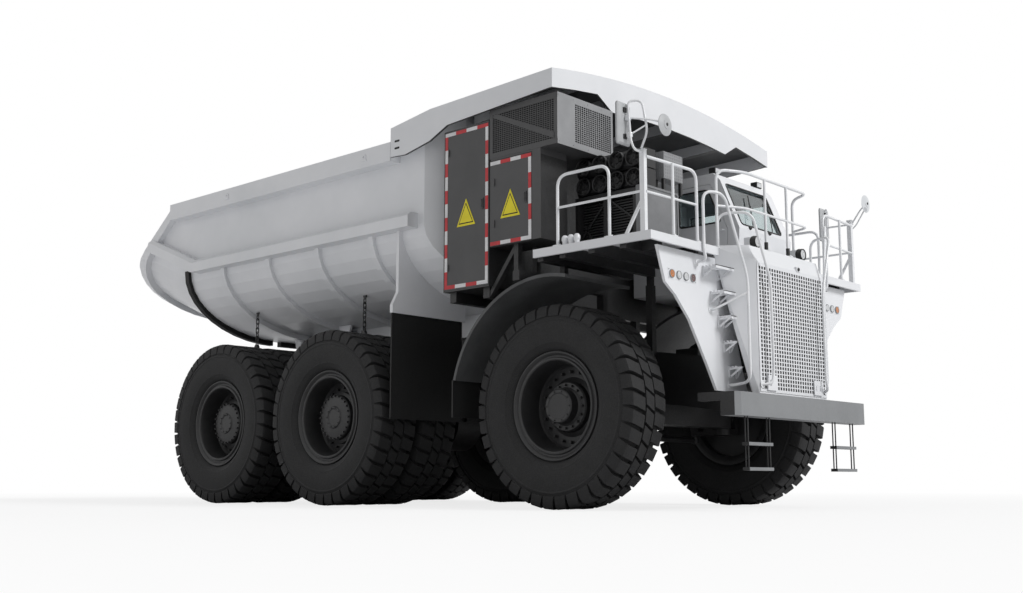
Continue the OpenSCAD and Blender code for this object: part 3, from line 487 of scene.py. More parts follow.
# Outlines of radius and reach from the tyre's middle, then of reach and radius for the blocks
sidewall = [(0.640, 0.200), (0.650, 0.245), (0.735, 0.268), (0.752, 0.296), (0.785, 0.326), (0.820, 0.340),
            (0.834, 0.351), (0.852, 0.352), (0.864, 0.355), (0.955, 0.367), (1.050, 0.370), (1.118, 0.366),
            (1.126, 0.3705), (1.140, 0.3705), (1.150, 0.362), (1.205, 0.350), (1.250, 0.328), (1.278, 0.292),
            (1.288, 0.240)]
shoulderLug = [(0.098, 1.272), (0.106, 1.346), (0.290, 1.350), (0.338, 1.334), (0.362, 1.290),
               (0.3695, 1.190), (0.352, 1.176), (0.330, 1.200), (0.290, 1.262)]
middleLug = [(-0.088, 1.272), (-0.082, 1.348), (0.082, 1.348), (0.088, 1.272)]


def lugSeed(outline, half, shear, side):
    # Block drawn with X outwards, Y round the tyre, Z along the axle; its flanks lean in towards the top
    seed = newPart()
    points = []
    for end in (-1, 1):
        for reach, radius in outline:
            lean = half * (1.05 - 0.9 * max(0.0, radius - tyreSizes["groove"]))
            bow = shear * (reach + 0.6 * reach * abs(reach))
            across = end * lean + bow
            points.append((math.sqrt(radius ** 2 - across ** 2) - tyreSizes["base"], across, side * reach))
    addFaces(seed, points, prismFaces(len(outline)))
    return seed


def drawTyre(part, centre, outward):
    t = tyreSizes
    place = standOn(centre, outward)
    addLathe(part, sidewall + [(r, -h) for r, h in reversed(sidewall)], centre, outward, t["segments"])
    rows = [(lugSeed(shoulderLug, t["shoulderHalf"], t["shoulderShear"] * side, side),
             t["shoulderTurn"] + 0.5 * (side > 0)) for side in (-1, 1)]
    rows.append((lugSeed(middleLug, t["middleHalf"], t["middleShear"], 1), t["middleTurn"]))
    for seed, turn in rows:
        values = {"Count": t["lugs"], "Radius": t["base"], "Finish": tyreRubber, "Piece": seed}
        runTree(ringTree, values, part, place @ Matrix.Rotation(2 * math.pi / t["lugs"] * turn, 4, "Z"))


# Rims and hubs: outlines of radius and reach outwards, bolts set round them

rimFront = [(0.575, 0.100), (0.585, 0.235), (0.600, 0.278), (0.615, 0.289), (0.634, 0.286), (0.648, 0.262),
            (0.668, 0.262), (0.688, 0.285), (0.702, 0.2965), (0.718, 0.2965), (0.724, 0.286), (0.724, 0.262),
            (0.6215, 0.252), (0.6215, -0.252), (0.724, -0.262), (0.724, -0.2965), (0.700, -0.2965),
            (0.640, -0.278)]
frontHub = [(0, 0.205), (0.165, 0.205), (0.178, 0.215), (0.212, 0.215), (0.226, 0.200), (0.232, 0.075),
            (0.258, 0.050), (0.318, 0.042), (0.335, 0.022), (0.345, -0.050), (0.400, -0.085), (0.540, -0.085),
            (0.565, -0.050)]
frontBack = [(0.600, -0.260), (0.590, -0.150), (0.400, -0.135), (0.330, -0.149), (0.1108, -0.149),
             (0.1108, 0.070), (0, 0.070)]
rearHub = [(0, 0.165), (0.125, 0.165), (0.138, 0.176), (0.162, 0.176), (0.175, 0.160), (0.305, 0.150),
           (0.338, 0.140), (0.352, 0.122), (0.352, 0.060), (0.400, 0.040), (0.405, -0.050), (0.540, -0.062),
           (0.565, -0.030)]
rearBack = [(0.600, -0.290), (0.600, -0.550), (0.724, -0.544), (0.724, -0.578), (0.6215, -0.588),
            (0.6215, -1.092), (0.724, -1.102), (0.724, -1.1365), (0.700, -1.1365), (0.600, -1.100),
            (0.585, -0.900), (0.380, -0.880), (0.340, -0.939), (0.2508, -0.939), (0.2508, -0.062),
            (0, -0.062)]
# Bolt circles: count, radius of the circle, reach, radius and height of the bolt
frontBolts = [(16, 0.288, 0.044, 0.016, 0.034), (10, 0.195, 0.213, 0.010, 0.016),
              (20, 0.470, -0.087, 0.021, 0.055)]
rearBolts = [(24, 0.330, 0.140, 0.015, 0.030), (10, 0.150, 0.174, 0.009, 0.016),
             (20, 0.470, -0.060, 0.020, 0.050)]


def boltSeed(radius, height, washer=1.35):
    seed = newPart()
    addDisc(seed, (0, 0, 0), (0, 0, 1), radius * washer, height * 0.18, 10)
    head = [(0, 0), (radius, 0), (radius, height * 0.86), (radius * 0.84, height), (0, height)]
    addLathe(seed, head, (0, 0, 0), (0, 0, 1), 6)
    return seed


def drawHub(part, centre, outward, twin):
    outline = rearHub + rimFront + rearBack if twin else frontHub + rimFront + frontBack
    addLathe(part, outline, centre, outward, 72)
    for count, radius, reach, size, height in rearBolts if twin else frontBolts:
        values = {"Count": count, "Radius": radius, "Piece": boltSeed(size, height), "Finish": rimEnamel}
        runTree(ringTree, values, part, standOn(Vector(centre) + Vector(outward) * reach, outward))


wheelPlaces = {"front": (0.0, 2.100), "middle": (-4.360, 2.386), "rear": (-7.270, 2.386)}
for station, (x, y) in wheelPlaces.items():
    for sideName, side in (("right", -1), ("left", 1)):
        where = f"{station}_{sideName}"
        body = f"wheel_{where}"
        twin = station != "front"
        centre, outward = (x, side * y, tyreSizes["middle"]), (0, side, 0)
        tyre = newPart()
        drawTyre(tyre, centre, outward)
        if twin:
            drawTyre(tyre, (x, side * (y - tyreSizes["twinStep"]), tyreSizes["middle"]), outward)
        finishPiece(tyre, f"treaded_tyre_{where}", [tyreRubber], body,
                    f"tyre{'s' if twin else ''}_{where}", 32)
        hub = newPart()
        drawHub(hub, centre, outward, twin)
        finishPiece(hub, f"bolted_hub_{where}", [rimEnamel], body, f"hub_{where}", 30)
print("wheels made")


# Grille: sheet with rows of upright slots, a latch box at each lower corner

grille = {"columns": 26, "rows": 30, "width": 1.764, "low": 1.513, "high": 3.199, "face": 2.206,
          "depth": 0.004, "slotWide": 0.041, "slotHigh": 0.040, "border": 0.032, "inset": 0.01,
          "boxIn": 0.50, "boxOut": 0.73, "boxLow": 1.535, "boxHigh": 1.735, "boxDeep": 0.022,
          "pullY": 0.66, "pullLow": 1.60, "pullHigh": 1.67}


def holeCell(wide, high, slotWide, slotHigh, depth):
    # One cell of a perforated sheet: front and back rings joined through the hole
    seed = newPart()
    rings = []
    for w, h in ((wide, high), (slotWide, slotHigh)):
        rings.append([(-w / 2, -h / 2), (w / 2, -h / 2), (w / 2, h / 2), (-w / 2, h / 2)])
    points = [(x, y, z) for z in (0, -depth) for ring in rings for x, y in ring]
    faces = []
    for i in range(4):
        j = (i + 1) % 4
        faces += [(i, j, 4 + j, 4 + i), (8 + j, 8 + i, 12 + i, 12 + j), (4 + i, 4 + j, 12 + j, 12 + i)]
    addFaces(seed, points, faces)
    return seed


def drawPerforated(part, centre, normal, width, height, columns, rows, slotShare, depth, finish, slot=0):
    # Perforated sheet that fills width by height
    pw, ph = width / columns, height / rows
    values = {"Columns": columns, "Rows": rows, "Width": width - pw, "Height": height - ph, "Finish": finish,
              "Piece": holeCell(pw, ph, pw * slotShare[0], ph * slotShare[1], depth)}
    runTree(gridTree, values, part, standOn(centre, normal), slot)


def makeGrille():
    g = grille
    part = newPart()
    half, middle = g["width"] / 2, (g["low"] + g["high"]) / 2
    inW, inH = g["width"] - 2 * g["border"], g["high"] - g["low"] - 2 * g["border"]
    slotShare = (g["slotWide"] * g["columns"] / inW, g["slotHigh"] * g["rows"] / inH)
    drawPerforated(part, (g["face"], 0, middle), (1, 0, 0), inW, inH, g["columns"], g["rows"], slotShare,
                   g["depth"], whiteEnamel)
    x0, x1 = g["face"] - g["depth"], g["face"]
    for side in (-1, 1):
        addSideBox(part, side, (x0, inW / 2, g["low"]), (x1, half, g["high"]))
    addBox(part, (x0, -inW / 2, g["low"]), (x1, inW / 2, g["low"] + g["border"]))
    addBox(part, (x0, -inW / 2, g["high"] - g["border"]), (x1, inW / 2, g["high"]))
    # Black sheet behind the slots: painted shade seen through the holes
    addBox(part, (x0 - 0.0005, -half + g["inset"], g["low"] + g["inset"]),
           (x0 + 0.0004, half - g["inset"], g["high"] - g["inset"]), 1)
    finishPiece(part, "grille_sheet", [whiteEnamel, sheetRubber], "chassis", "grille", 30)
    boxes = newPart()
    for side in (-1, 1):
        a, b = sorted((side * g["boxIn"], side * g["boxOut"]))
        addBox(boxes, (x1, a, g["boxLow"]), (x1 + g["boxDeep"], b, g["boxHigh"]))
        addBox(boxes, (x1 + 0.021, a + 0.05, g["pullLow"]), (x1 + 0.030, a + 0.075, g["pullHigh"]))
        pull = [(0.02, g["pullLow"]), (0.034, g["pullLow"]), (0.034, g["pullHigh"]), (0.02, g["pullHigh"])]
        addTube(boxes, [(x1 + dx, side * g["pullY"], z) for dx, z in pull], 0.006, 0, 8, 0.01)
    finishPiece(boxes, "grille_latch_boxes", [whiteEnamel], "chassis", bevel=0.004)


makeGrille()
print("grille made")


# Steps up the front: folded treads with slats on triangular brackets

steps = {"back": 1.750, "front": 1.968, "wide": 0.430, "least": 0.05, "gap": 0.003,
         "slats": [(0.0, 0.030), (0.052, 0.082), (0.104, 0.134), (0.156, 0.218)],
         "heights": [3.127, 2.814, 2.499, 2.187, 1.861], "ends": [1.483, 1.309, 1.148, 1.026, 0.919]}


def hoodHalf(x, z):
    # Half width of the hood's flank at a place, so that treads stop on it
    t = min(max((x - 1.710) / 0.390, 0.0), 1.0)
    low, high = 0.360 + 0.530 * t, 1.190 - 0.285 * t
    slope = 0.830 / 1.960
    return min(low + slope * (z - 1.480), high)


def makeSteps():
    part = newPart()
    back, front = steps["back"], steps["front"]
    for side in (-1, 1):
        for height, end in zip(steps["heights"], steps["ends"]):
            start = end - steps["wide"]
            # Slats as place along the truck, underside and top, with the folded front edge last
            bars = [(back + x0, back + x1, height - 0.016, height) for x0, x1 in steps["slats"]]
            bars.append((front - 0.010, front, height - 0.048, height - 0.004))
            for x0, x1, low, high in bars:
                inner = max(start, hoodHalf(x1, height) + steps["gap"])
                if inner < end - steps["least"]:
                    addSideBox(part, side, (x0, inner, low), (x1, end, high))
            inner = max(start + 0.03, hoodHalf(back + 0.10, height) + 0.03)
            for y in (end - 0.012, inner):
                reach = front - 0.012 if y > hoodHalf(front, height) else back + 0.10
                y0, y1 = sorted((side * (y - 0.006), side * (y + 0.006)))
                bracket = [(back, 0.020), (back, 0.150), (back + 0.022, 0.150), (back + 0.022, 0.050),
                           (reach - 0.050, 0.042), (back + 0.030, 0.120), (back + 0.034, 0.148),
                           (reach, 0.034), (reach, 0.014)]
                addPrism(part, [(x, height - drop) for x, drop in bracket], "y", y0, y1)
    finishPiece(part, "slatted_steps", [whiteEnamel], "chassis", "stair_steps", 30)


makeSteps()
print("steps made")


# Handrails: bent tube, foot plates on the deck

rails = {"tube": 0.021, "thin": 0.017, "step": 0.020, "bend": 0.15, "edge": 2.72, "deck": 3.390, "top": 4.33,
         "sideEnds": (0.36, 1.21), "sideKnee": 3.90, "postLow": (1.715, 2.700), "postHigh": (1.785, 2.760),
         "postTop": 4.405, "frontX": 1.83, "frontEnd": 1.69, "frontPost": 2.22, "frontKnee": 3.885,
         "flange": 0.045, "hoodTop": 4.44, "hoodKnee": 3.95, "hood": 3.440, "wall": 1.75, "stand": 2.052,
         "stands": (-0.36, 0.22), "sleeve": 0.027, "sleeveHigh": 0.12}


def mirrored(points, side):
    # Points given for the left of the truck
    return [(x, side * y, z) for x, y, z in points]


def addFoot(part, x, y, z):
    addBox(part, (x - 0.055, y - 0.04, z), (x + 0.055, y + 0.04, z + 0.012))
    for dx in (-0.04, 0.04):
        addDisc(part, (x + dx, y, z + 0.012), (0, 0, 1), 0.010, 0.012)


def makeHandrails():
    part = newPart()
    tube, thin, step, bend, edge = (rails[k] for k in ("tube", "thin", "step", "bend", "edge"))
    deck, top, wall, hood, stand = (rails[k] for k in ("deck", "top", "wall", "hood", "stand"))
    for s in (-1, 1):
        e = s * edge
        (x0, x1), knee = rails["sideEnds"], rails["sideKnee"]
        addTube(part, [(x0, e, deck), (x0, e, top), (x1, e, top), (x1, e, deck)], tube, bend=0.17, steps=7)
        addTube(part, [(x0, e, knee), (1.74, e, knee)], thin)
        for x in rails["sideEnds"]:
            addFoot(part, x, e, deck)
        # Square corner post with a cap and a brace of flat bar
        (x0, near), (x1, far), cap = rails["postLow"], rails["postHigh"], rails["postTop"]
        y0, y1 = sorted((s * near, s * far))
        addBox(part, (x0, y0, deck), (x1, y1, cap))
        addBox(part, (x0 - 0.007, y0 - 0.002, cap), (x1 + 0.007, y1, cap + 0.015))
        brace = [(1.450, deck), (1.492, deck), (1.718, 3.765), (1.718, 3.820)]
        addPrism(part, brace, "y", e - 0.016, e + 0.016)
        # Front rail
        x, end, post, knee = (rails[k] for k in ("frontX", "frontEnd", "frontPost", "frontKnee"))
        front = [(1.78, 2.71, top), (x, end, top), (x, end, deck)]
        addTube(part, mirrored(front, s), tube, bend=bend, steps=7)
        addTube(part, mirrored([(x + 0.002, post, deck), (x + 0.002, post, top)], s), step)
        addTube(part, mirrored([(1.78, edge, knee), (x, end, knee)], s), thin)
        for y in (end, post):
            addFoot(part, x - 0.015, s * y, deck)
        # Rails of the steps, with a flange where each end meets the sheet
        outer = [(wall, 1.586, 3.160), (1.895, 1.60, 3.165), (1.895, 1.64, 3.30), (1.895, 1.64, 4.07),
                 (2.030, 1.36, 4.07), (2.15, 1.03, 2.995), (2.15, 1.03, 1.630), (1.85, 0.915, 1.614),
                 (wall, 0.905, 1.614)]
        stay = [(wall, 1.308, 2.567), (1.80, 1.308, 2.567), (2.15, 1.03, 2.79)]
        inner = [(2.206, 0.843, 1.60), (2.300, 0.74, 1.62), (2.300, 0.70, 1.78), (2.300, 0.70, 2.945),
                 (2.255, 1.06, 3.84), (1.85, 1.24, 3.84), (1.85, 1.24, deck)]
        addTube(part, mirrored(outer, s), step, bend=bend, steps=7)
        addTube(part, mirrored(stay, s), 0.016, bend=0.05)
        addTube(part, mirrored(inner, s), 0.019, bend=bend, steps=7)
        for flange in mirrored([outer[0], outer[-1], stay[0], inner[0]], s):
            addDisc(part, flange, (1, 0, 0), rails["flange"], 0.010, 14)
    # Rail over the hood: it runs across and turns back at its ends
    high, knee = rails["hoodTop"], rails["hoodKnee"]
    addTube(part, [(1.85, -1.25, deck), (1.85, -1.25, high), (2.05, -0.86, high), (2.05, 0.80, high),
                   (1.80, 0.84, 4.40), (1.80, 0.84, hood)], tube, bend=0.16, steps=7)
    addTube(part, [(1.85, -1.25, knee), (2.05, -0.86, knee), (2.05, 0.80, knee), (1.80, 0.84, 3.93)], thin,
            bend=0.10)
    sleeve, sleeveTop = rails["sleeve"], hood + rails["sleeveHigh"]
    for y in rails["stands"]:
        addTube(part, [(stand, y, hood), (stand, y, high)], 0.019)
        addTube(part, [(stand, y, hood), (stand, y, sleeveTop)], sleeve, 1)
        addFoot(part, stand, y, hood)
    addTube(part, [(1.80, 0.84, hood), (1.80, 0.84, sleeveTop)], sleeve, 1)
    finishPiece(part, "bent_handrails", [railEnamel, mouldedAbs], "chassis", "handrails", 40)


makeHandrails()
print("handrails made")


# Mirrors: moulded housings on white tube, silvered faces to the rear

mirrors = {"flat": [(1.590, -2.935, 4.730), (1.190, 2.935, 4.450)], "wide": 0.268, "high": 0.538,
           "corner": 0.44, "clamp": 0.03, "stay": 0.015, "arm": 0.012, "brace": 0.011,
           "right": (2.050, -2.680, 4.680), "left": (1.990, 2.810, 4.660)}
mirrorDish = [(0, 0.039), (0.055, 0.037), (0.060, 0.030), (0.085, 0.026), (0.118, 0.012), (0.136, 0.008),
              (0.140, 0.002), (0.134, 0.000), (0, 0.004)]


def drawFlatMirror(part, x, y, z):
    w, h, c, clamp = (mirrors[k] for k in ("wide", "high", "corner", "clamp"))
    rounded = [(-0.5, -c), (-c, -0.5), (c, -0.5), (0.5, -c), (0.5, c), (c, 0.5), (-c, 0.5), (-0.5, c)]
    outline = [(y + a * w, z + b * h) for a, b in rounded]
    small = [(y + a * w * 0.86, z + b * h * 0.93) for a, b in rounded]
    rings = [(x + 0.002, small), (x, outline), (x + 0.022, outline), (x + 0.040, small)]
    n = len(rounded)
    faces = [tuple(range(n)), tuple(range(4 * n - 1, 3 * n - 1, -1))]
    for r in range(3):
        for i in range(n):
            j = (i + 1) % n
            faces.append((r * n + i, (r + 1) * n + i, (r + 1) * n + j, r * n + j))
    addFaces(part, [(rx, *p) for rx, ring in rings for p in ring], faces, 1)
    addBox(part, (x - 0.001, y - w * 0.40, z - h * 0.45), (x + 0.003, y + w * 0.40, z + h * 0.45), 2)
    for dz in (-0.17, 0.17):
        addBox(part, (x + 0.030, y - clamp, z + dz - clamp), (x + 0.055, y + clamp, z + dz + clamp), 3)


def makeMirrors():
    part = newPart()
    stay, arm, brace, clamp = (mirrors[k] for k in ("stay", "arm", "brace", "clamp"))
    for place in mirrors["flat"]:
        drawFlatMirror(part, *place)
    # Right: tube loop from the corner post, clamps, arm of the round mirror
    addTube(part, [(1.75, -2.760, 4.380), (1.75, -2.90, 4.380), (1.70, -2.905, 4.50), (1.66, -2.905, 5.02),
                   (1.80, -2.80, 5.02), (1.86, -2.775, 4.62), (1.76, -2.775, 4.42)], stay, 0, 10, 0.09, 6)
    addTube(part, [(1.67, -2.905, 4.80), (1.90, -2.770, 4.76), (2.062, -2.690, 4.700)], arm, 0, 8, 0.05)
    addTube(part, [(1.69, -2.905, 4.58), (1.84, -2.780, 4.70)], brace, 0, 8)
    for x, z in ((1.672, 4.80), (1.690, 4.58)):
        addBox(part, (x - 0.035, -2.930, z - clamp), (x + 0.022, -2.880, z + clamp))
    # Left: long arm back to the flat mirror, raking pair of tubes to the round one
    addTube(part, [(1.75, 2.760, 4.380), (1.75, 2.86, 4.380), (1.240, 2.93, 4.405)], stay, 0, 10, 0.06)
    addTube(part, [(x, 2.93, z) for x, z in ((1.245, 4.20), (1.265, 4.20), (1.265, 4.705), (1.245, 4.705))],
            arm, 0, 8, 0.03)
    addTube(part, [(1.75, 2.82, 4.385), (1.90, 2.815, 4.58), (2.004, 2.812, 4.660)], arm, 0, 8, 0.06)
    addTube(part, [(1.75, 2.83, 4.30), (1.82, 2.83, 4.36), (1.996, 2.815, 4.610)], brace, 0, 8, 0.04)
    # Round mirrors: spun dishes with a domed back and a seat for the ball
    for centre, back in ((mirrors["right"], 1), (mirrors["left"], 2)):
        addLathe(part, mirrorDish, centre, (1, 0, 0), 40, back)
        addLathe(part, [(0, 0.0005), (0.130, 0.0005), (0.128, 0.003), (0, 0.006)], centre, (1, 0, 0), 40, 2)
        addLathe(part, [(0, 0.036), (0.022, 0.036), (0.022, 0.040), (0, 0.040)], centre, (1, 0, 0), 16, 3)
    finishPiece(part, "tube_mirrors", [railEnamel, ventLight, mirrorSilver, mouldedAbs], "chassis", "mirrors",
                40)


makeMirrors()
print("mirrors made")


# Lamps: bezels and lenses with a ring in them, on the fender panels and the hood

# Each lamp of the row has its place across and the slot of its lens
lamps = {"plateX": 1.750, "face": 1.753, "plateIn": 1.630, "plateOut": 2.245, "plateLow": 2.868,
         "plateHigh": 3.004, "row": [(2.170, 3), (2.015, 2), (1.860, 2), (1.705, 4)], "rowZ": 2.936,
         "radius": 0.055, "depth": 0.016, "hoodY": 0.61, "hoodZ": 3.530, "hoodX": 1.996,
         "hoodRadius": 0.084, "hoodDepth": 0.082}


def drawLamp(part, centre, radius, depth, lens, rim):
    # Outlines in shares of the lamp's radius and depth: bezel, lens, ring in the lens
    bezel = [(0, 0), (1, 0), (1, 0.7), (0.96, 1), (0.86, 1), (0.83, 0.72), (0, 0.72)]
    dome = [(0, 0.74), (0.83, 0.74), (0.78, 0.90), (0.42, 0.99), (0, 1)]
    ring = [(0.28, 0.98), (0.34, 1), (0.40, 0.97)]
    for outline, segments, slot in ((bezel, 28, rim), (dome, 28, lens), (ring, 20, rim)):
        addLathe(part, [(radius * r, depth * h) for r, h in outline], centre, (1, 0, 0), segments, slot)


def makeLamps():
    part = newPart()
    m = lamps
    for s in (-1, 1):
        addSideBox(part, s, (m["plateX"], m["plateIn"], m["plateLow"]),
                   (m["face"], m["plateOut"], m["plateHigh"]))
        for y, lens in m["row"]:
            drawLamp(part, (m["face"], s * y, m["rowZ"]), m["radius"], m["depth"], lens, 5)
        for y in (m["plateIn"] + 0.015, m["plateOut"] - 0.015):
            for z in (m["plateLow"] + 0.016, m["plateHigh"] - 0.016):
                addDisc(part, (m["face"], s * y, z), (1, 0, 0), 0.007, 0.005, 6, 5)
        # Hood lamps: round black drums on a white box with a bracket
        y, z = m["hoodY"], m["hoodZ"]
        addSideBox(part, s, (1.905, y - 0.075, z - 0.055), (1.998, y + 0.075, z + 0.065))
        addBox(part, (1.930, s * y - 0.03, 3.440), (1.980, s * y + 0.03, 3.480))
        drawLamp(part, (m["hoodX"], s * y, z), m["hoodRadius"], m["hoodDepth"], 2, 1)
        hoop = [(0.050, -0.004), (0.086, -0.004), (0.088, 0.012), (0.084, 0.030)]
        addLathe(part, hoop, (m["hoodX"] + 0.014, s * y, z), (1, 0, 0), 28, 1)
    finishPiece(part, "lensed_lamps", [whiteEnamel, mouldedAbs, lensClear, lensAmber, lensDark, zincSteel],
                "chassis", "lamps", 35)


makeLamps()
print("lamps made")


# Cabinets: tape borders, yellow plates, door seams, hinges and latches

cabinetDoors = {"tall": {"low": (-1.768, 3.050), "high": (-0.918, 5.330), "hingeTape": True,
                         "sides": (-1, 1), "plate": (-1.345, 4.080)},
                "middle": {"low": (-0.872, 3.560), "high": (-0.118, 4.745), "hingeTape": False,
                           "sides": (-1,), "plate": (-0.500, 4.080)}}
cabinetTrim = {"face": 2.700, "tapeWide": 0.052, "tapeLength": 0.205, "tapeThick": 0.003, "plateHalf": 0.18,
               "hingeIn": 0.075, "hingeEnd": 0.30, "latchIn": 0.105}


def tapeRun(part, start, end, upright, fixed, face, side, first):
    # Red and white lengths in turn along one edge of a door
    wide = cabinetTrim["tapeWide"]
    count = max(2, round((end - start) / cabinetTrim["tapeLength"]))
    step = (end - start) / count
    y0, y1 = sorted((face, face + side * cabinetTrim["tapeThick"]))
    for i in range(count):
        a, b = start + i * step, start + (i + 1) * step
        low = (fixed, a) if upright else (a, fixed)
        high = (fixed + wide, b) if upright else (b, fixed + wide)
        addBox(part, (low[0], y0, low[1]), (high[0], y1, high[1]), (i + first) % 2)


def drawPlate(part, x, z, face):
    # Yellow triangle, dark line and yellow field: share of the base, foot, tip, front, back, slot
    half = cabinetTrim["plateHalf"]
    layers = [(1.0, 0.160, 0.230, 0.0, 0.004, 0), (0.8, 0.130, 0.175, -0.001, 0.001, 1),
              (0.7, 0.114, 0.145, -0.002, 0.001, 0)]
    for share, foot, tip, out, back, slot in layers:
        outline = [(x - half * share, z - foot), (x + half * share, z - foot), (x, z + tip)]
        addPrism(part, outline, "y", face - 0.004 + out, face - 0.004 + back, slot)


def drawDoorIrons(part, low, high, face, s):
    # Seam round the leaf, hinges and a swing latch
    (x0, z0), (x1, z1) = low, high
    ya, yb = sorted((face, face + s * 0.0012))
    seam = [((x0 - 0.014, z0 - 0.020), (x0 - 0.008, z1 + 0.014)),
            ((x1 + 0.004, z0 - 0.020), (x1 + 0.010, z1 + 0.014)),
            ((x0 - 0.014, z1 + 0.008), (x1 + 0.010, z1 + 0.014)),
            ((x0 - 0.014, z0 - 0.026), (x1 + 0.010, z0 - 0.020))]
    for a, b in seam:
        addBox(part, (a[0], ya, a[1]), (b[0], yb, b[1]), 1)
    hingeX, hingeY = x0 + cabinetTrim["hingeIn"], face + s * 0.008
    for z in (z0 + cabinetTrim["hingeEnd"], z1 - cabinetTrim["hingeEnd"]):
        addTube(part, [(hingeX, hingeY, z - 0.05), (hingeX, hingeY, z + 0.05)], 0.010)
    latchX, mid, proud = x1 - cabinetTrim["latchIn"], (z0 + z1) / 2, face + s * 0.018
    ya, yb = sorted((face, proud))
    addBox(part, (latchX - 0.020, ya, mid - 0.075), (latchX + 0.020, yb, mid + 0.075))
    handle = [(proud, 0.05), (face + s * 0.032, 0.05), (face + s * 0.032, -0.05), (proud, -0.05)]
    addTube(part, [(latchX, y, mid + dz) for y, dz in handle], 0.007, 0, 8, 0.012)


def makeCabinetTrim():
    strips, plates, irons = newPart(), newPart(), newPart()
    w = cabinetTrim["tapeWide"]
    for s in (-1, 1):
        face = s * cabinetTrim["face"]
        for door in cabinetDoors.values():
            if s not in door["sides"]:
                continue
            (x0, z0), (x1, z1) = door["low"], door["high"]
            if door["hingeTape"]:
                tapeRun(strips, z0 + w, z1 - w, True, x0, face, s, 0)
            tapeRun(strips, z0 + w, z1 - w, True, x1 - w, face, s, 1)
            tapeRun(strips, x0, x1, False, z0, face, s, 0)
            tapeRun(strips, x0, x1, False, z1 - w, face, s, 1)
            if s < 0:
                drawPlate(plates, *door["plate"], face)
            drawDoorIrons(irons, door["low"], door["high"], face, s)
    finishPiece(strips, "cabinet_reflective_tape", [tapeRed, tapeWhite], "chassis")
    finishPiece(plates, "cabinet_blank_plates", [vinylYellow, sheetRubber], "chassis")
    finishPiece(irons, "cabinet_door_irons", [cabinetCoat, sheetRubber], "chassis",
                bevel=0.002)


makeCabinetTrim()
print("cabinet trim made")


# Vent box: folded housing with perforated panels, a diagonal stay across the side

vent = {"low": (-0.888, -2.700, 4.790), "high": (0.346, -1.500, 5.500), "sheet": 0.004, "hole": 0.003,
        "sideHoles": (27, 20), "sideShare": (0.74, 0.66), "frontStart": -2.330, "frontHoles": (17, 19),
        "frontShare": (0.78, 0.74), "screws": (-2.66, -2.36, -2.05, -1.75, -1.53),
        "plinthLow": (-0.876, -2.696, 4.700), "plinthHigh": (0.046, -2.155)}


def makeVentBox():
    v = vent
    part = newPart()
    (x0, y0, z0), (x1, y1, z1) = v["low"], v["high"]
    t = v["sheet"]
    # Side: frame bars round a perforated panel, with the stay across it
    (a, b), (c, d) = (x0 + 0.055, z0 + 0.075), (x1 - 0.060, z1 - 0.085)
    for p, q in (((x0, z0), (x1, b)), ((x0, d), (x1, z1)), ((x0, b), (a, d)), ((c, b), (x1 - 0.002, d))):
        addBox(part, (p[0], y0, p[1]), (q[0], y0 + t, q[1]), 1)
    drawPerforated(part, ((a + c) / 2, y0 + v["hole"], (b + d) / 2), (0, -1, 0), c - a, d - b,
                   *v["sideHoles"], v["sideShare"], v["hole"], cabinetCoat, 1)
    stay = [(a - 0.01, d - 0.03), (a + 0.06, d + 0.01), (c + 0.01, b + 0.085), (c + 0.01, b - 0.005)]
    addPrism(part, stay, "y", y0, y0 + 0.010, 1)
    # Front: the same, without a stay
    (a, b), (c, d) = (v["frontStart"], z0 + 0.085), (y1 - 0.040, z1 - 0.090)
    for p, q in (((y0, z0), (y1, b)), ((y0, d), (y1, z1)), ((y0 + 0.001, b), (a, d)), ((c, b), (y1, d))):
        addBox(part, (x1 - t, p[0], p[1]), (x1, q[0], q[1]))
    drawPerforated(part, (x1 - 0.001, (a + c) / 2, (b + d) / 2), (1, 0, 0), c - a, d - b, *v["frontHoles"],
                   v["frontShare"], v["hole"], ventCoat)
    # Top, floor, back and end walls
    addBox(part, (x0, y0 + t, z1 - t), (x1 - t, y1, z1), 1)
    addBox(part, (x0, y0 + t, z0), (x1 - t, y1, z0 + t), 1)
    addBox(part, (x0, y1 - t, z0 + t), (x1 - t, y1, z1 - t), 1)
    addBox(part, (x0, y0 + t, z0 + t), (x0 + t, y1 - t, z1 - t), 1)
    # Plinth that stands on the middle cabinet
    addBox(part, v["plinthLow"], (*v["plinthHigh"], z0), 1)
    # Black sheets a hand behind the panels: painted shade seen through the holes
    addBox(part, (x0 + 0.02, y0 + 0.10, z0 + 0.02), (x1 - 0.10, y0 + 0.12, z1 - 0.02), 2)
    addBox(part, (x1 - 0.12, y0 + 0.10, z0 + 0.02), (x1 - 0.10, y1 - 0.02, z1 - 0.02), 2)
    # Fixing screws along the front's edges
    for y in v["screws"]:
        for z in (z0 + 0.035, z1 - 0.035):
            addDisc(part, (x1, y, z), (1, 0, 0), 0.009, 0.006, 6, 3)
    finishPiece(part, "perforated_vent_box", [ventCoat, cabinetCoat, sheetRubber, zincSteel], "chassis",
                "vent_box", 30)


makeVentBox()
print("vent box made")


# Fans: two rows of four ducted fans with blades and wire guards in octagonal shells

fans = {"x0": -0.020, "x1": 1.100, "y0": -1.840, "y1": -1.560, "rows": (4.372, 4.647), "half": 0.130,
        "corner": 0.045, "count": 4, "first": 0.120, "step": 0.285, "radius": 0.125, "blades": 7,
        "wires": (0.062, 0.085, 0.107), "bars": 4, "shelf": 4.230}


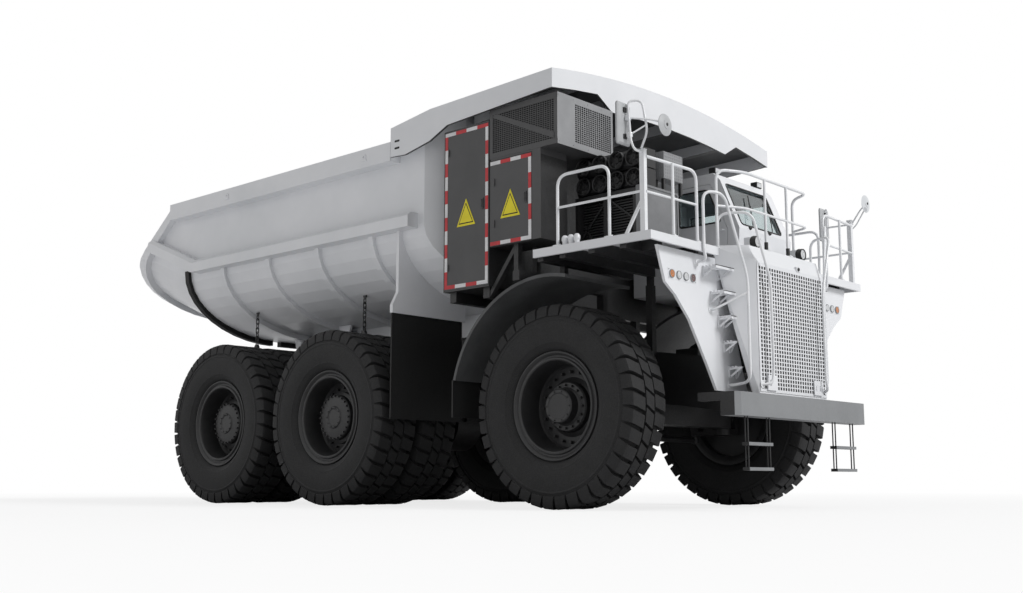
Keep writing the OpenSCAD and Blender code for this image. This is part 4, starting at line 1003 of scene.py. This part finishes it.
def drawFan(part, centre, start):
    out = Vector((0, -1, 0))
    r = fans["radius"]
    duct = [(r, 0), (r, 0.055), (r - 0.006, 0.060), (r - 0.014, 0.055), (r - 0.018, 0.002)]
    addLathe(part, duct, centre, out, 36, closed=False)
    addLathe(part, [(0, 0.050), (0.040, 0.048), (0.046, 0.040), (0.046, 0), (0, 0)], centre, out, 20)
    # Blade corners as reach from the hub, place round it and height
    blade = [(0.044, 0.020, 0.012), (0.044, -0.020, 0.034), (0.104, -0.034, 0.030), (0.104, 0.022, 0.010)]
    for k in range(fans["blades"]):
        t = 2 * math.pi * k / fans["blades"] + start
        u = Vector((math.cos(t), 0, math.sin(t)))
        v = Vector((-math.sin(t), 0, math.cos(t)))
        points = [centre + u * a + v * b + out * c for a, b, c in blade]
        sides = [(0, 1, 2, 3), (7, 6, 5, 4), (0, 4, 5, 1), (1, 5, 6, 2), (2, 6, 7, 3), (3, 7, 4, 0)]
        addFaces(part, points + [p + out * 0.003 for p in points], sides)
    for ring in fans["wires"]:
        addLathe(part, [(ring - 0.002, 0.052), (ring, 0.056), (ring + 0.002, 0.052)], centre, out, 28, 1)
    guard = centre + out * 0.053
    for k in range(fans["bars"]):
        t = math.pi * k / fans["bars"]
        reach = Vector((math.cos(t), 0, math.sin(t))) * 0.112
        addTube(part, [guard - reach, guard + reach], 0.002, 1, 5)


def makeFans():
    part = newPart()
    x0, x1, y0, y1, h, c = (fans[k] for k in ("x0", "x1", "y0", "y1", "half", "corner"))
    for z in fans["rows"]:
        shell = [(y0, z - h + c), (y0 + c, z - h), (y1, z - h), (y1, z + h), (y0 + c, z + h), (y0, z + h - c)]
        addPrism(part, shell, "x", x0, x1)
        for x in (x0 + 0.004, x1 - 0.004):
            addPrism(part, [(p + (0.01 if p == y0 else 0.0), q) for p, q in shell], "x", x - 0.012, x + 0.012)
        for i in range(fans["count"]):
            drawFan(part, Vector((fans["first"] + i * fans["step"], y0, z)), i)
    # Tie plates between the rows, and the shelf's feet
    low, high = fans["rows"]
    for x in (x0 + 0.05, (x0 + x1) / 2, x1 - 0.05):
        addBox(part, (x - 0.02, y0 + 0.05, low), (x + 0.02, y1 - 0.02, high))
        addBox(part, (x - 0.03, y0 + 0.06, fans["shelf"]), (x + 0.03, y1 - 0.03, low))
    finishPiece(part, "ducted_fans", [mouldedAbs, chassisEnamel], "chassis", "fan_bank", 32)


makeFans()
print("fans made")


# Cooling unit: two finned cores in a braced frame, shelf above, grey panel ahead

cooler = {"x0": -0.030, "x1": 1.020, "face": -1.880, "back": -1.120, "low": 3.390, "high": 4.230,
          "post": 0.065, "middle": 0.46, "sill": 0.090, "shelf": 0.085, "deep": 0.10, "fins": 17, "waves": 14,
          "cores": [(0.040, 0.455), (0.530, 0.950)], "stayHalf": 0.013,
          "stays": [((0.02, 3.650), (0.44, 4.110)), ((0.10, 3.830), (0.30, 3.460)),
                    ((0.56, 4.110), (0.95, 3.810)), ((0.97, 3.930), (0.74, 3.460))],
          "panelLow": (1.021, -1.900, 3.390), "panelHigh": (1.150, -1.100, 4.250), "rim": 0.030,
          "fold": 0.012}
resistor = {"low": (0.960, -1.420, 4.420), "high": (1.140, -0.960, 4.800), "sheet": 0.004, "foot": 0.02,
            "footIn": 0.03, "holeShare": (0.55, 0.55), "hole": 0.003}


def makeCooler():
    c = cooler
    part = newPart()
    x0, x1, face, low, high = (c[k] for k in ("x0", "x1", "face", "low", "high"))
    # Frame: sill, shelf, end posts and a middle post
    addBox(part, (x0, face, low), (x1, face + c["deep"], low + c["sill"]))
    addBox(part, (x0, face, high - c["shelf"]), (x1, c["back"], high))
    for x in (x0, c["middle"], x1 - c["post"]):
        addBox(part, (x, face + 0.003, low + c["sill"]), (x + c["post"], face + c["deep"], high - c["shelf"]))
    addBox(part, (x0, face + 0.18, low), (x1, c["back"], high - c["shelf"] - 0.001), 1)
    # Cores: flattened tubes across, bowed fins between them
    step = (high - low - 2 * c["deep"]) / c["fins"]
    n = 2 * c["waves"]
    for start, end in c["cores"]:
        for i in range(c["fins"]):
            z = low + c["deep"] + (i + 0.5) * step
            wave = [(start + (end - start) * k / n, z + (0.011 if k % 2 else 0.004)) for k in range(n + 1)]
            base = [(x, z - 0.012) for x, _ in reversed(wave)]
            addPrism(part, wave + base, "y", face + 0.085, face + 0.15, 1)
    # Crossed stays of angle iron over the cores
    for a, b in c["stays"]:
        dx, dz = Vector((b[0] - a[0], b[1] - a[1])).normalized() * c["stayHalf"]
        outline = [(a[0] - dz, a[1] + dx), (b[0] - dz, b[1] + dx),
                   (b[0] + dz, b[1] - dx), (a[0] + dz, a[1] - dx)]
        addPrism(part, outline, "y", face + 0.060, face + 0.075)
    # Panel ahead of the unit with a folded rim, in the radiator grey darkened as painted shade
    (_, py0, pz0), (px1, py1, pz1) = c["panelLow"], c["panelHigh"]
    rim, fold = c["rim"], px1 - c["fold"]
    addBox(part, c["panelLow"], (fold, py1, pz1), 2)
    for a, b in (((py0, pz0), (py0 + rim, pz1)), ((py1 - rim, pz0), (py1, pz1)),
                 ((py0 + rim, pz0), (py1 - rim, pz0 + rim)), ((py0 + rim, pz1 - rim), (py1 - rim, pz1))):
        addBox(part, (fold, *a), (px1, *b), 2)
    finishPiece(part, "finned_cooling_unit", [chassisEnamel, mouldedAbs, coolerShadeGrey], "chassis",
                "cooling_unit", 30)


def makeResistorBox():
    # Perforated box on a stand beside the fans; its feet reach the panel and the shelf
    r = resistor
    part = newPart()
    (x0, y0, z0), (x1, y1, z1) = r["low"], r["high"]
    t, foot, inset = r["sheet"], r["foot"], r["footIn"]
    addBox(part, (x0, y0 + t, z0), (x1 - t, y1 - t, z1 - t))
    x, y, z = (x0 + x1) / 2, (y0 + y1) / 2, (z0 + z1) / 2
    drawPerforated(part, (x1, y, z), (1, 0, 0), 0.44, 0.36, 10, 8, r["holeShare"], r["hole"], ventCoat)
    drawPerforated(part, (x, y0, z), (0, -1, 0), 0.17, 0.36, 5, 8, r["holeShare"], r["hole"], ventCoat)
    for y in (y0 + inset, y1 - inset):
        for x, stand in ((x0 + inset, cooler["high"]), (x1 - inset, cooler["panelHigh"][2])):
            addBox(part, (x - foot, y - foot, stand - 0.001), (x + foot, y + foot, z0 + t), 1)
    finishPiece(part, "perforated_resistor_box", [ventCoat, chassisEnamel], "chassis",
                angle=30)


makeCooler()
makeResistorBox()
print("cooling unit made")


# Rock ejectors: bars between the twin tyres, each hung on a length of chain

ejectors = {"places": (-7.270, -4.360), "y": 1.966, "low": 2.150, "join": 2.760, "half": 0.024,
            "links": 7, "pitch": 0.078, "linkLong": 0.052, "linkWide": 0.026, "wire": 0.009,
            "lugLow": 3.262, "bedUnder": 3.331, "lugHalf": 0.010}


def drawLink(part, centre, turned):
    wide, straight = ejectors["linkWide"], ejectors["linkLong"] - ejectors["linkWide"]
    x, y, z = centre
    path = []
    for k in range(17):
        t = 2 * math.pi * k / 16
        across = wide * math.cos(t)
        along = straight * (1 if math.sin(t) > 0 else -1) + wide * math.sin(t)
        path.append((x, y + across, z + along) if turned else (x + across, y, z + along))
    addTube(part, path, ejectors["wire"], 0, 7)


def makeEjectors():
    part = newPart()
    e = ejectors
    shoulder = e["join"] - 0.04
    bar = [(-0.050, e["low"]), (0.050, e["low"]), (0.046, shoulder), (0.022, e["join"]), (-0.022, e["join"]),
           (-0.046, shoulder)]
    # Lug on the bed's underside that the chain hangs from
    lug = [(-0.016, e["lugLow"]), (0.016, e["lugLow"]), (0.040, e["bedUnder"]), (-0.040, e["bedUnder"])]
    for s in (-1, 1):
        y = s * e["y"]
        for x in e["places"]:
            addPrism(part, [(x + dx, z) for dx, z in bar], "y", y - e["half"], y + e["half"])
            for k in range(e["links"]):
                drawLink(part, (x, y, e["join"] + 0.02 + k * e["pitch"]), k % 2)
            addPrism(part, [(x + dx, z) for dx, z in lug], "y", y - e["lugHalf"], y + e["lugHalf"])
    finishPiece(part, "chained_rock_ejectors", [chassisEnamel], "bed", "rock_ejectors", 40)


makeEjectors()
print("rock ejectors made")


# Bed trim: lifting eyes on the rails, slots in the canopy's side plates

bedTrim = {"y": 2.766, "eyes": (-7.170, -3.500), "eyeZ": 5.305, "slotX": -2.747, "slots": (5.414, 5.305),
           "slotHalf": (0.055, 0.016)}


def makeBedTrim():
    part = newPart()
    eye = [(0.020, -0.004), (0.044, -0.004), (0.046, 0.004), (0.044, 0.012), (0.020, 0.012)]
    foot = [(-0.060, -0.070), (0.060, -0.070), (0.042, -0.015), (-0.042, -0.015)]
    slot = [(-1, -0.4), (-0.8, -1), (0.8, -1), (1, -0.4), (1, 0.4), (0.8, 1), (-0.8, 1), (-1, 0.4)]
    eyeZ, (half, rise) = bedTrim["eyeZ"], bedTrim["slotHalf"]
    for s in (-1, 1):
        y = s * bedTrim["y"]
        for x in bedTrim["eyes"]:
            addLathe(part, eye, (x, y, eyeZ), (0, s, 0), 20)
            addPrism(part, [(x + a, eyeZ + b) for a, b in foot], "y", *sorted((y - s * 0.004, y + s * 0.010)))
        # Slots are thin black shapes on the plate, painted shade in place of openings
        for z in bedTrim["slots"]:
            outline = [(bedTrim["slotX"] + half * a, z + rise * b) for a, b in slot]
            addPrism(part, outline, "y", *sorted((y, y + s * 0.0015)), 1)
    finishPiece(part, "bed_eyes_and_slots", [whiteEnamel, sheetRubber], "bed",
                angle=30)


makeBedTrim()
print("bed trim made")


# Second paint on some faces of CAD pieces; on the canopy's underside and the cabinets' front and lower faces
# it is painted shade

secondPaint = {"rearRib": -8.594, "ribHalf": 0.095, "ribTop": 4.25, "bumperBack": 2.10, "rungFace": 0.010}


def paintFaces(name, finish, wanted):
    mesh = nodes[name].data
    mesh.materials.append(finish)
    for face in mesh.polygons:
        if wanted(face):
            face.material_index = len(mesh.materials) - 1


def onRearRib(face):
    away = abs(face.center.x - axleX - secondPaint["rearRib"])
    return away < secondPaint["ribHalf"] and face.center.z < secondPaint["ribTop"]


def onBumperBack(face):
    behind = face.center.x - axleX < secondPaint["bumperBack"]
    return abs(face.normal.y) > 0.85 or face.normal.x < -0.5 or behind


paintFaces("bed_ribs", sheetRubber, onRearRib)
paintFaces("bumper", chassisEnamel, onBumperBack)
paintFaces("boarding_ladders", bumperEnamel, lambda face: face.area > secondPaint["rungFace"])
# Downward faces of the canopy turn dark grey: painted shade on its underside
paintFaces("bed_canopy", archGreyAndPaintedShade, lambda face: face.normal.z < -0.30)
# Front and downward faces of the cabinets turn black: painted shade where they stand in shadow
paintFaces("equipment_cabinets", chassisEnamel, lambda face: face.normal.x > 0.5 or face.normal.z < -0.5)
print("second paints laid")


# Cab: seals round the panes, wipers, roof lamps; seat, dash and wheel inside

cab = {"right": 0.550, "left": 2.050, "middle": 1.300, "floor": 3.260, "paneLow": 4.190, "paneHigh": 4.710,
       "screenLow": 4.130, "screenHigh": 4.790, "screenIn": 0.660, "screenOut": 1.820, "seal": 0.013,
       "wipers": (0.86, 1.42), "wiperFoot": 4.090, "roofLamps": (0.700, 1.900), "roof": 4.957}


def sealLoop(part, corners):
    # Closed loop of rubber that starts in the middle of its first side
    corners = [Vector(c) for c in corners]
    start = corners[0].lerp(corners[1], 0.5)
    addTube(part, [start] + corners[1:] + [corners[0], start], cab["seal"], 0, 8, 0.06)


def sealSidePane(part, y, back, frontLow, frontHigh):
    low, high = cab["paneLow"], cab["paneHigh"]
    sealLoop(part, [(back, y, low), (frontLow, y, low), (frontHigh, y, high), (back, y, high)])


def screenPoint(y, z, lift=0.0):
    # Place on the raked windscreen
    return (1.090 - (z - 4.060) * 0.310 / 0.770 + lift, y, z)


def makeCabTrim():
    part = newPart()
    a, b, low, high = (cab[k] for k in ("screenIn", "screenOut", "screenLow", "screenHigh"))
    sealLoop(part, [screenPoint(y, z) for y, z in ((a, low), (b, low), (b, high), (a, high))])
    sealSidePane(part, cab["right"], -0.740, -0.180, -0.180)
    sealSidePane(part, cab["left"], -0.740, 0.880, 0.660)
    foot = cab["wiperFoot"]
    for y in cab["wipers"]:
        knob = [(0, 0), (0.030, 0), (0.026, 0.030), (0, 0.034)]
        addLathe(part, knob, screenPoint(y, foot, -0.004), (0.9, 0, 0.36), 14)
        arm = [(0, foot, 0.03), (0.05, foot + 0.04, 0.045), (0.26, foot + 0.41, 0.03)]
        addTube(part, [screenPoint(y + dy, z, lift) for dy, z, lift in arm], 0.008, 0, 7, 0.03)
        addTube(part, [screenPoint(y + 0.18, 4.300, 0.018), screenPoint(y + 0.34, 4.690, 0.018)], 0.009, 0, 6)
    z = cab["roof"]
    for y in cab["roofLamps"]:
        addBox(part, (0.560, y - 0.050, z), (0.620, y + 0.050, z + 0.018))
        addBox(part, (0.540, y - 0.075, z + 0.018), (0.650, y + 0.075, z + 0.108))
        addBox(part, (0.649, y - 0.062, z + 0.029), (0.655, y + 0.062, z + 0.097), 1)
    finishPiece(part, "cab_seals_and_wipers", [mouldedAbs, lensClear], "chassis",
                angle=35)
    door = newPart()
    sealSidePane(door, cab["right"], 0.040, 0.780, 0.560)
    finishPiece(door, "door_seal", [mouldedAbs], "cab_door", angle=35)


makeCabTrim()
print("cab trim made")


# Seat, dash and wheel; heights are taken from the cab's floor

seat = {"half": 0.250, "cushion": ((-0.440, 0.330), (0.100, 0.450)),
        "back": ((-0.480, 0.440), (-0.350, 1.150)),
        "square": 0.30, "crown": 0.62, "drawIn": 0.045, "rows": 20, "columns": 44,
        "folds": 5, "foldHigh": 0.066, "foldIn": 0.025}
wheel = {"hub": (0.412, 0.866), "foot": (0.640, 0.700), "rake": 54, "radius": 0.200, "grip": 0.018,
         "spokes": 3}
# Woven seat cloth over foam: charcoal, 3 mm weave drawn at 9 mm
seatCloth = makeFinish("WovenSeatCloth", "3A3B3D", "2C2D2F", 120, 9, (0.80, 0.92), 0.20)


def signedPower(value, power):
    return math.copysign(abs(value) ** power, value)


def addCushion(part, low, high):
    # Crowned closed form; its sides draw in between the corners
    low, high = Vector(low), Vector(high)
    centre, half = (low + high) / 2, (high - low) / 2
    rows, columns, square = seat["rows"], seat["columns"], seat["square"]
    points = [centre - Vector((0, 0, half.z))]
    for i in range(1, rows):
        t = -math.pi / 2 + math.pi * i / rows
        for k in range(columns):
            s = 2 * math.pi * k / columns
            reach = signedPower(math.cos(t), square) * (1 - seat["drawIn"] * abs(math.cos(2 * s)))
            points.append(centre + Vector((reach * signedPower(math.cos(s), square) * half.x,
                                           reach * signedPower(math.sin(s), square) * half.y,
                                           signedPower(math.sin(t), seat["crown"]) * half.z)))
    points.append(centre + Vector((0, 0, half.z)))
    last = len(points) - 1
    faces = [(0, 1 + (k + 1) % columns, 1 + k) for k in range(columns)]
    for i in range(rows - 2):
        for k in range(columns):
            a, b = 1 + i * columns, 1 + (i + 1) * columns
            faces.append((a + k, a + (k + 1) % columns, b + (k + 1) % columns, b + k))
    faces += [(last, last - columns + k, last - columns + (k + 1) % columns) for k in range(columns)]
    addFaces(part, points, faces)


def makeDash():
    y, z = cab["middle"], cab["floor"]
    part = newPart()
    # Bellows under the seat
    for k in range(seat["folds"]):
        inset = seat["foldIn"] * (k % 2)
        addBox(part, (-0.42 + inset, y - 0.20 + inset, z + seat["foldHigh"] * k),
               (0.06 - inset, y + 0.20 - inset, z + seat["foldHigh"] * (k + 1)))
    # Dash across the cab, with a binnacle
    dash = [(0.62, 0), (0.90, 0), (0.90, 0.74), (0.82, 0.80), (0.68, 0.76), (0.62, 0.62)]
    binnacle = [(0.64, 0.70), (0.80, 0.79), (0.76, 0.80), (0.66, 0.80)]
    addPrism(part, [(x, z + h) for x, h in dash], "y", 0.652, 1.948)
    addPrism(part, [(x, z + h) for x, h in binnacle], "y", y - 0.24, y + 0.24)
    # Column and wheel
    (footX, footZ), (hubX, hubZ) = wheel["foot"], wheel["hub"]
    hub = Vector((hubX, y, z + hubZ))
    addTube(part, [(footX, y, z + footZ), hub], 0.030, 0, 14)
    rake, grip = math.radians(wheel["rake"]), wheel["grip"]
    spin = Vector((-math.sin(rake), 0, math.cos(rake)))
    turns = [math.pi * k / 4 for k in range(8)]
    addLathe(part, [(wheel["radius"] + grip * math.cos(t), grip * math.sin(t)) for t in turns], hub, spin, 36)
    addLathe(part, [(0, -0.012), (0.045, -0.012), (0.045, 0.010), (0.030, 0.016), (0, 0.016)], hub, spin, 18)
    across = spin.orthogonal().normalized()
    for k in range(wheel["spokes"]):
        t = 2 * math.pi * k / wheel["spokes"] + 0.5
        way = across * math.cos(t) + spin.cross(across) * math.sin(t)
        addTube(part, [hub + way * 0.035, hub + way * 0.198], 0.010, 0, 8)
    finishPiece(part, "dash_and_wheel", [mouldedAbs], "chassis", "cab_interior", 35)


def makeSeat():
    y, z, half = cab["middle"], cab["floor"], seat["half"]
    for name, key in (("seat_cushion", "cushion"), ("seat_back", "back")):
        (x0, z0), (x1, z1) = seat[key]
        part = newPart()
        addCushion(part, (x0, y - half, z + z0), (x1, y + half, z + z1))
        piece = finishPiece(part, name, [seatCloth], "chassis", angle=60)


makeDash()
makeSeat()
print("cab inside made")


# Sheet behind the steps, between each fender panel and the hood

stepSheet = {"back": 1.708, "front": 1.714,
             "outline": [(0.420, 1.540), (1.080, 1.540), (1.190, 1.850), (1.300, 2.400), (1.330, 3.180),
                         (0.900, 3.180)]}


def makeStepSheets():
    part = newPart()
    for s in (-1, 1):
        outline = [(s * y, z) for y, z in stepSheet["outline"]]
        addPrism(part, outline, "x", stepSheet["back"], stepSheet["front"])
    finishPiece(part, "step_back_sheets", [whiteEnamel], "chassis", angle=30)


makeStepSheets()
print("step sheets made")


# Small fittings: hood camera, deck plugs

fittings = {"cameraLow": (2.090, 0.165, 3.212), "cameraHigh": (2.205, 0.260, 3.278),
            "eye": (2.205, 0.212, 3.245), "plugs": (0.465, 0.566, 0.666),
            "plugY": -2.700, "deck": 3.390}


def makeFittings():
    part = newPart()
    addBox(part, fittings["cameraLow"], fittings["cameraHigh"])
    lens = [(0, 0), (0.024, 0), (0.024, 0.012), (0.017, 0.016), (0, 0.010)]
    addLathe(part, lens, fittings["eye"], (1, 0, 0), 18, 1)
    plug = [(0, 0), (0.034, 0), (0.036, 0.050), (0.044, 0.058), (0.044, 0.100), (0.026, 0.126), (0, 0.130)]
    for x in fittings["plugs"]:
        addLathe(part, plug, (x, fittings["plugY"], fittings["deck"]), (0, 0, 1), 20)
    finishPiece(part, "camera_and_deck_plugs", [whiteEnamel, mouldedAbs], "chassis",
                angle=35)


makeFittings()
print("fittings made")
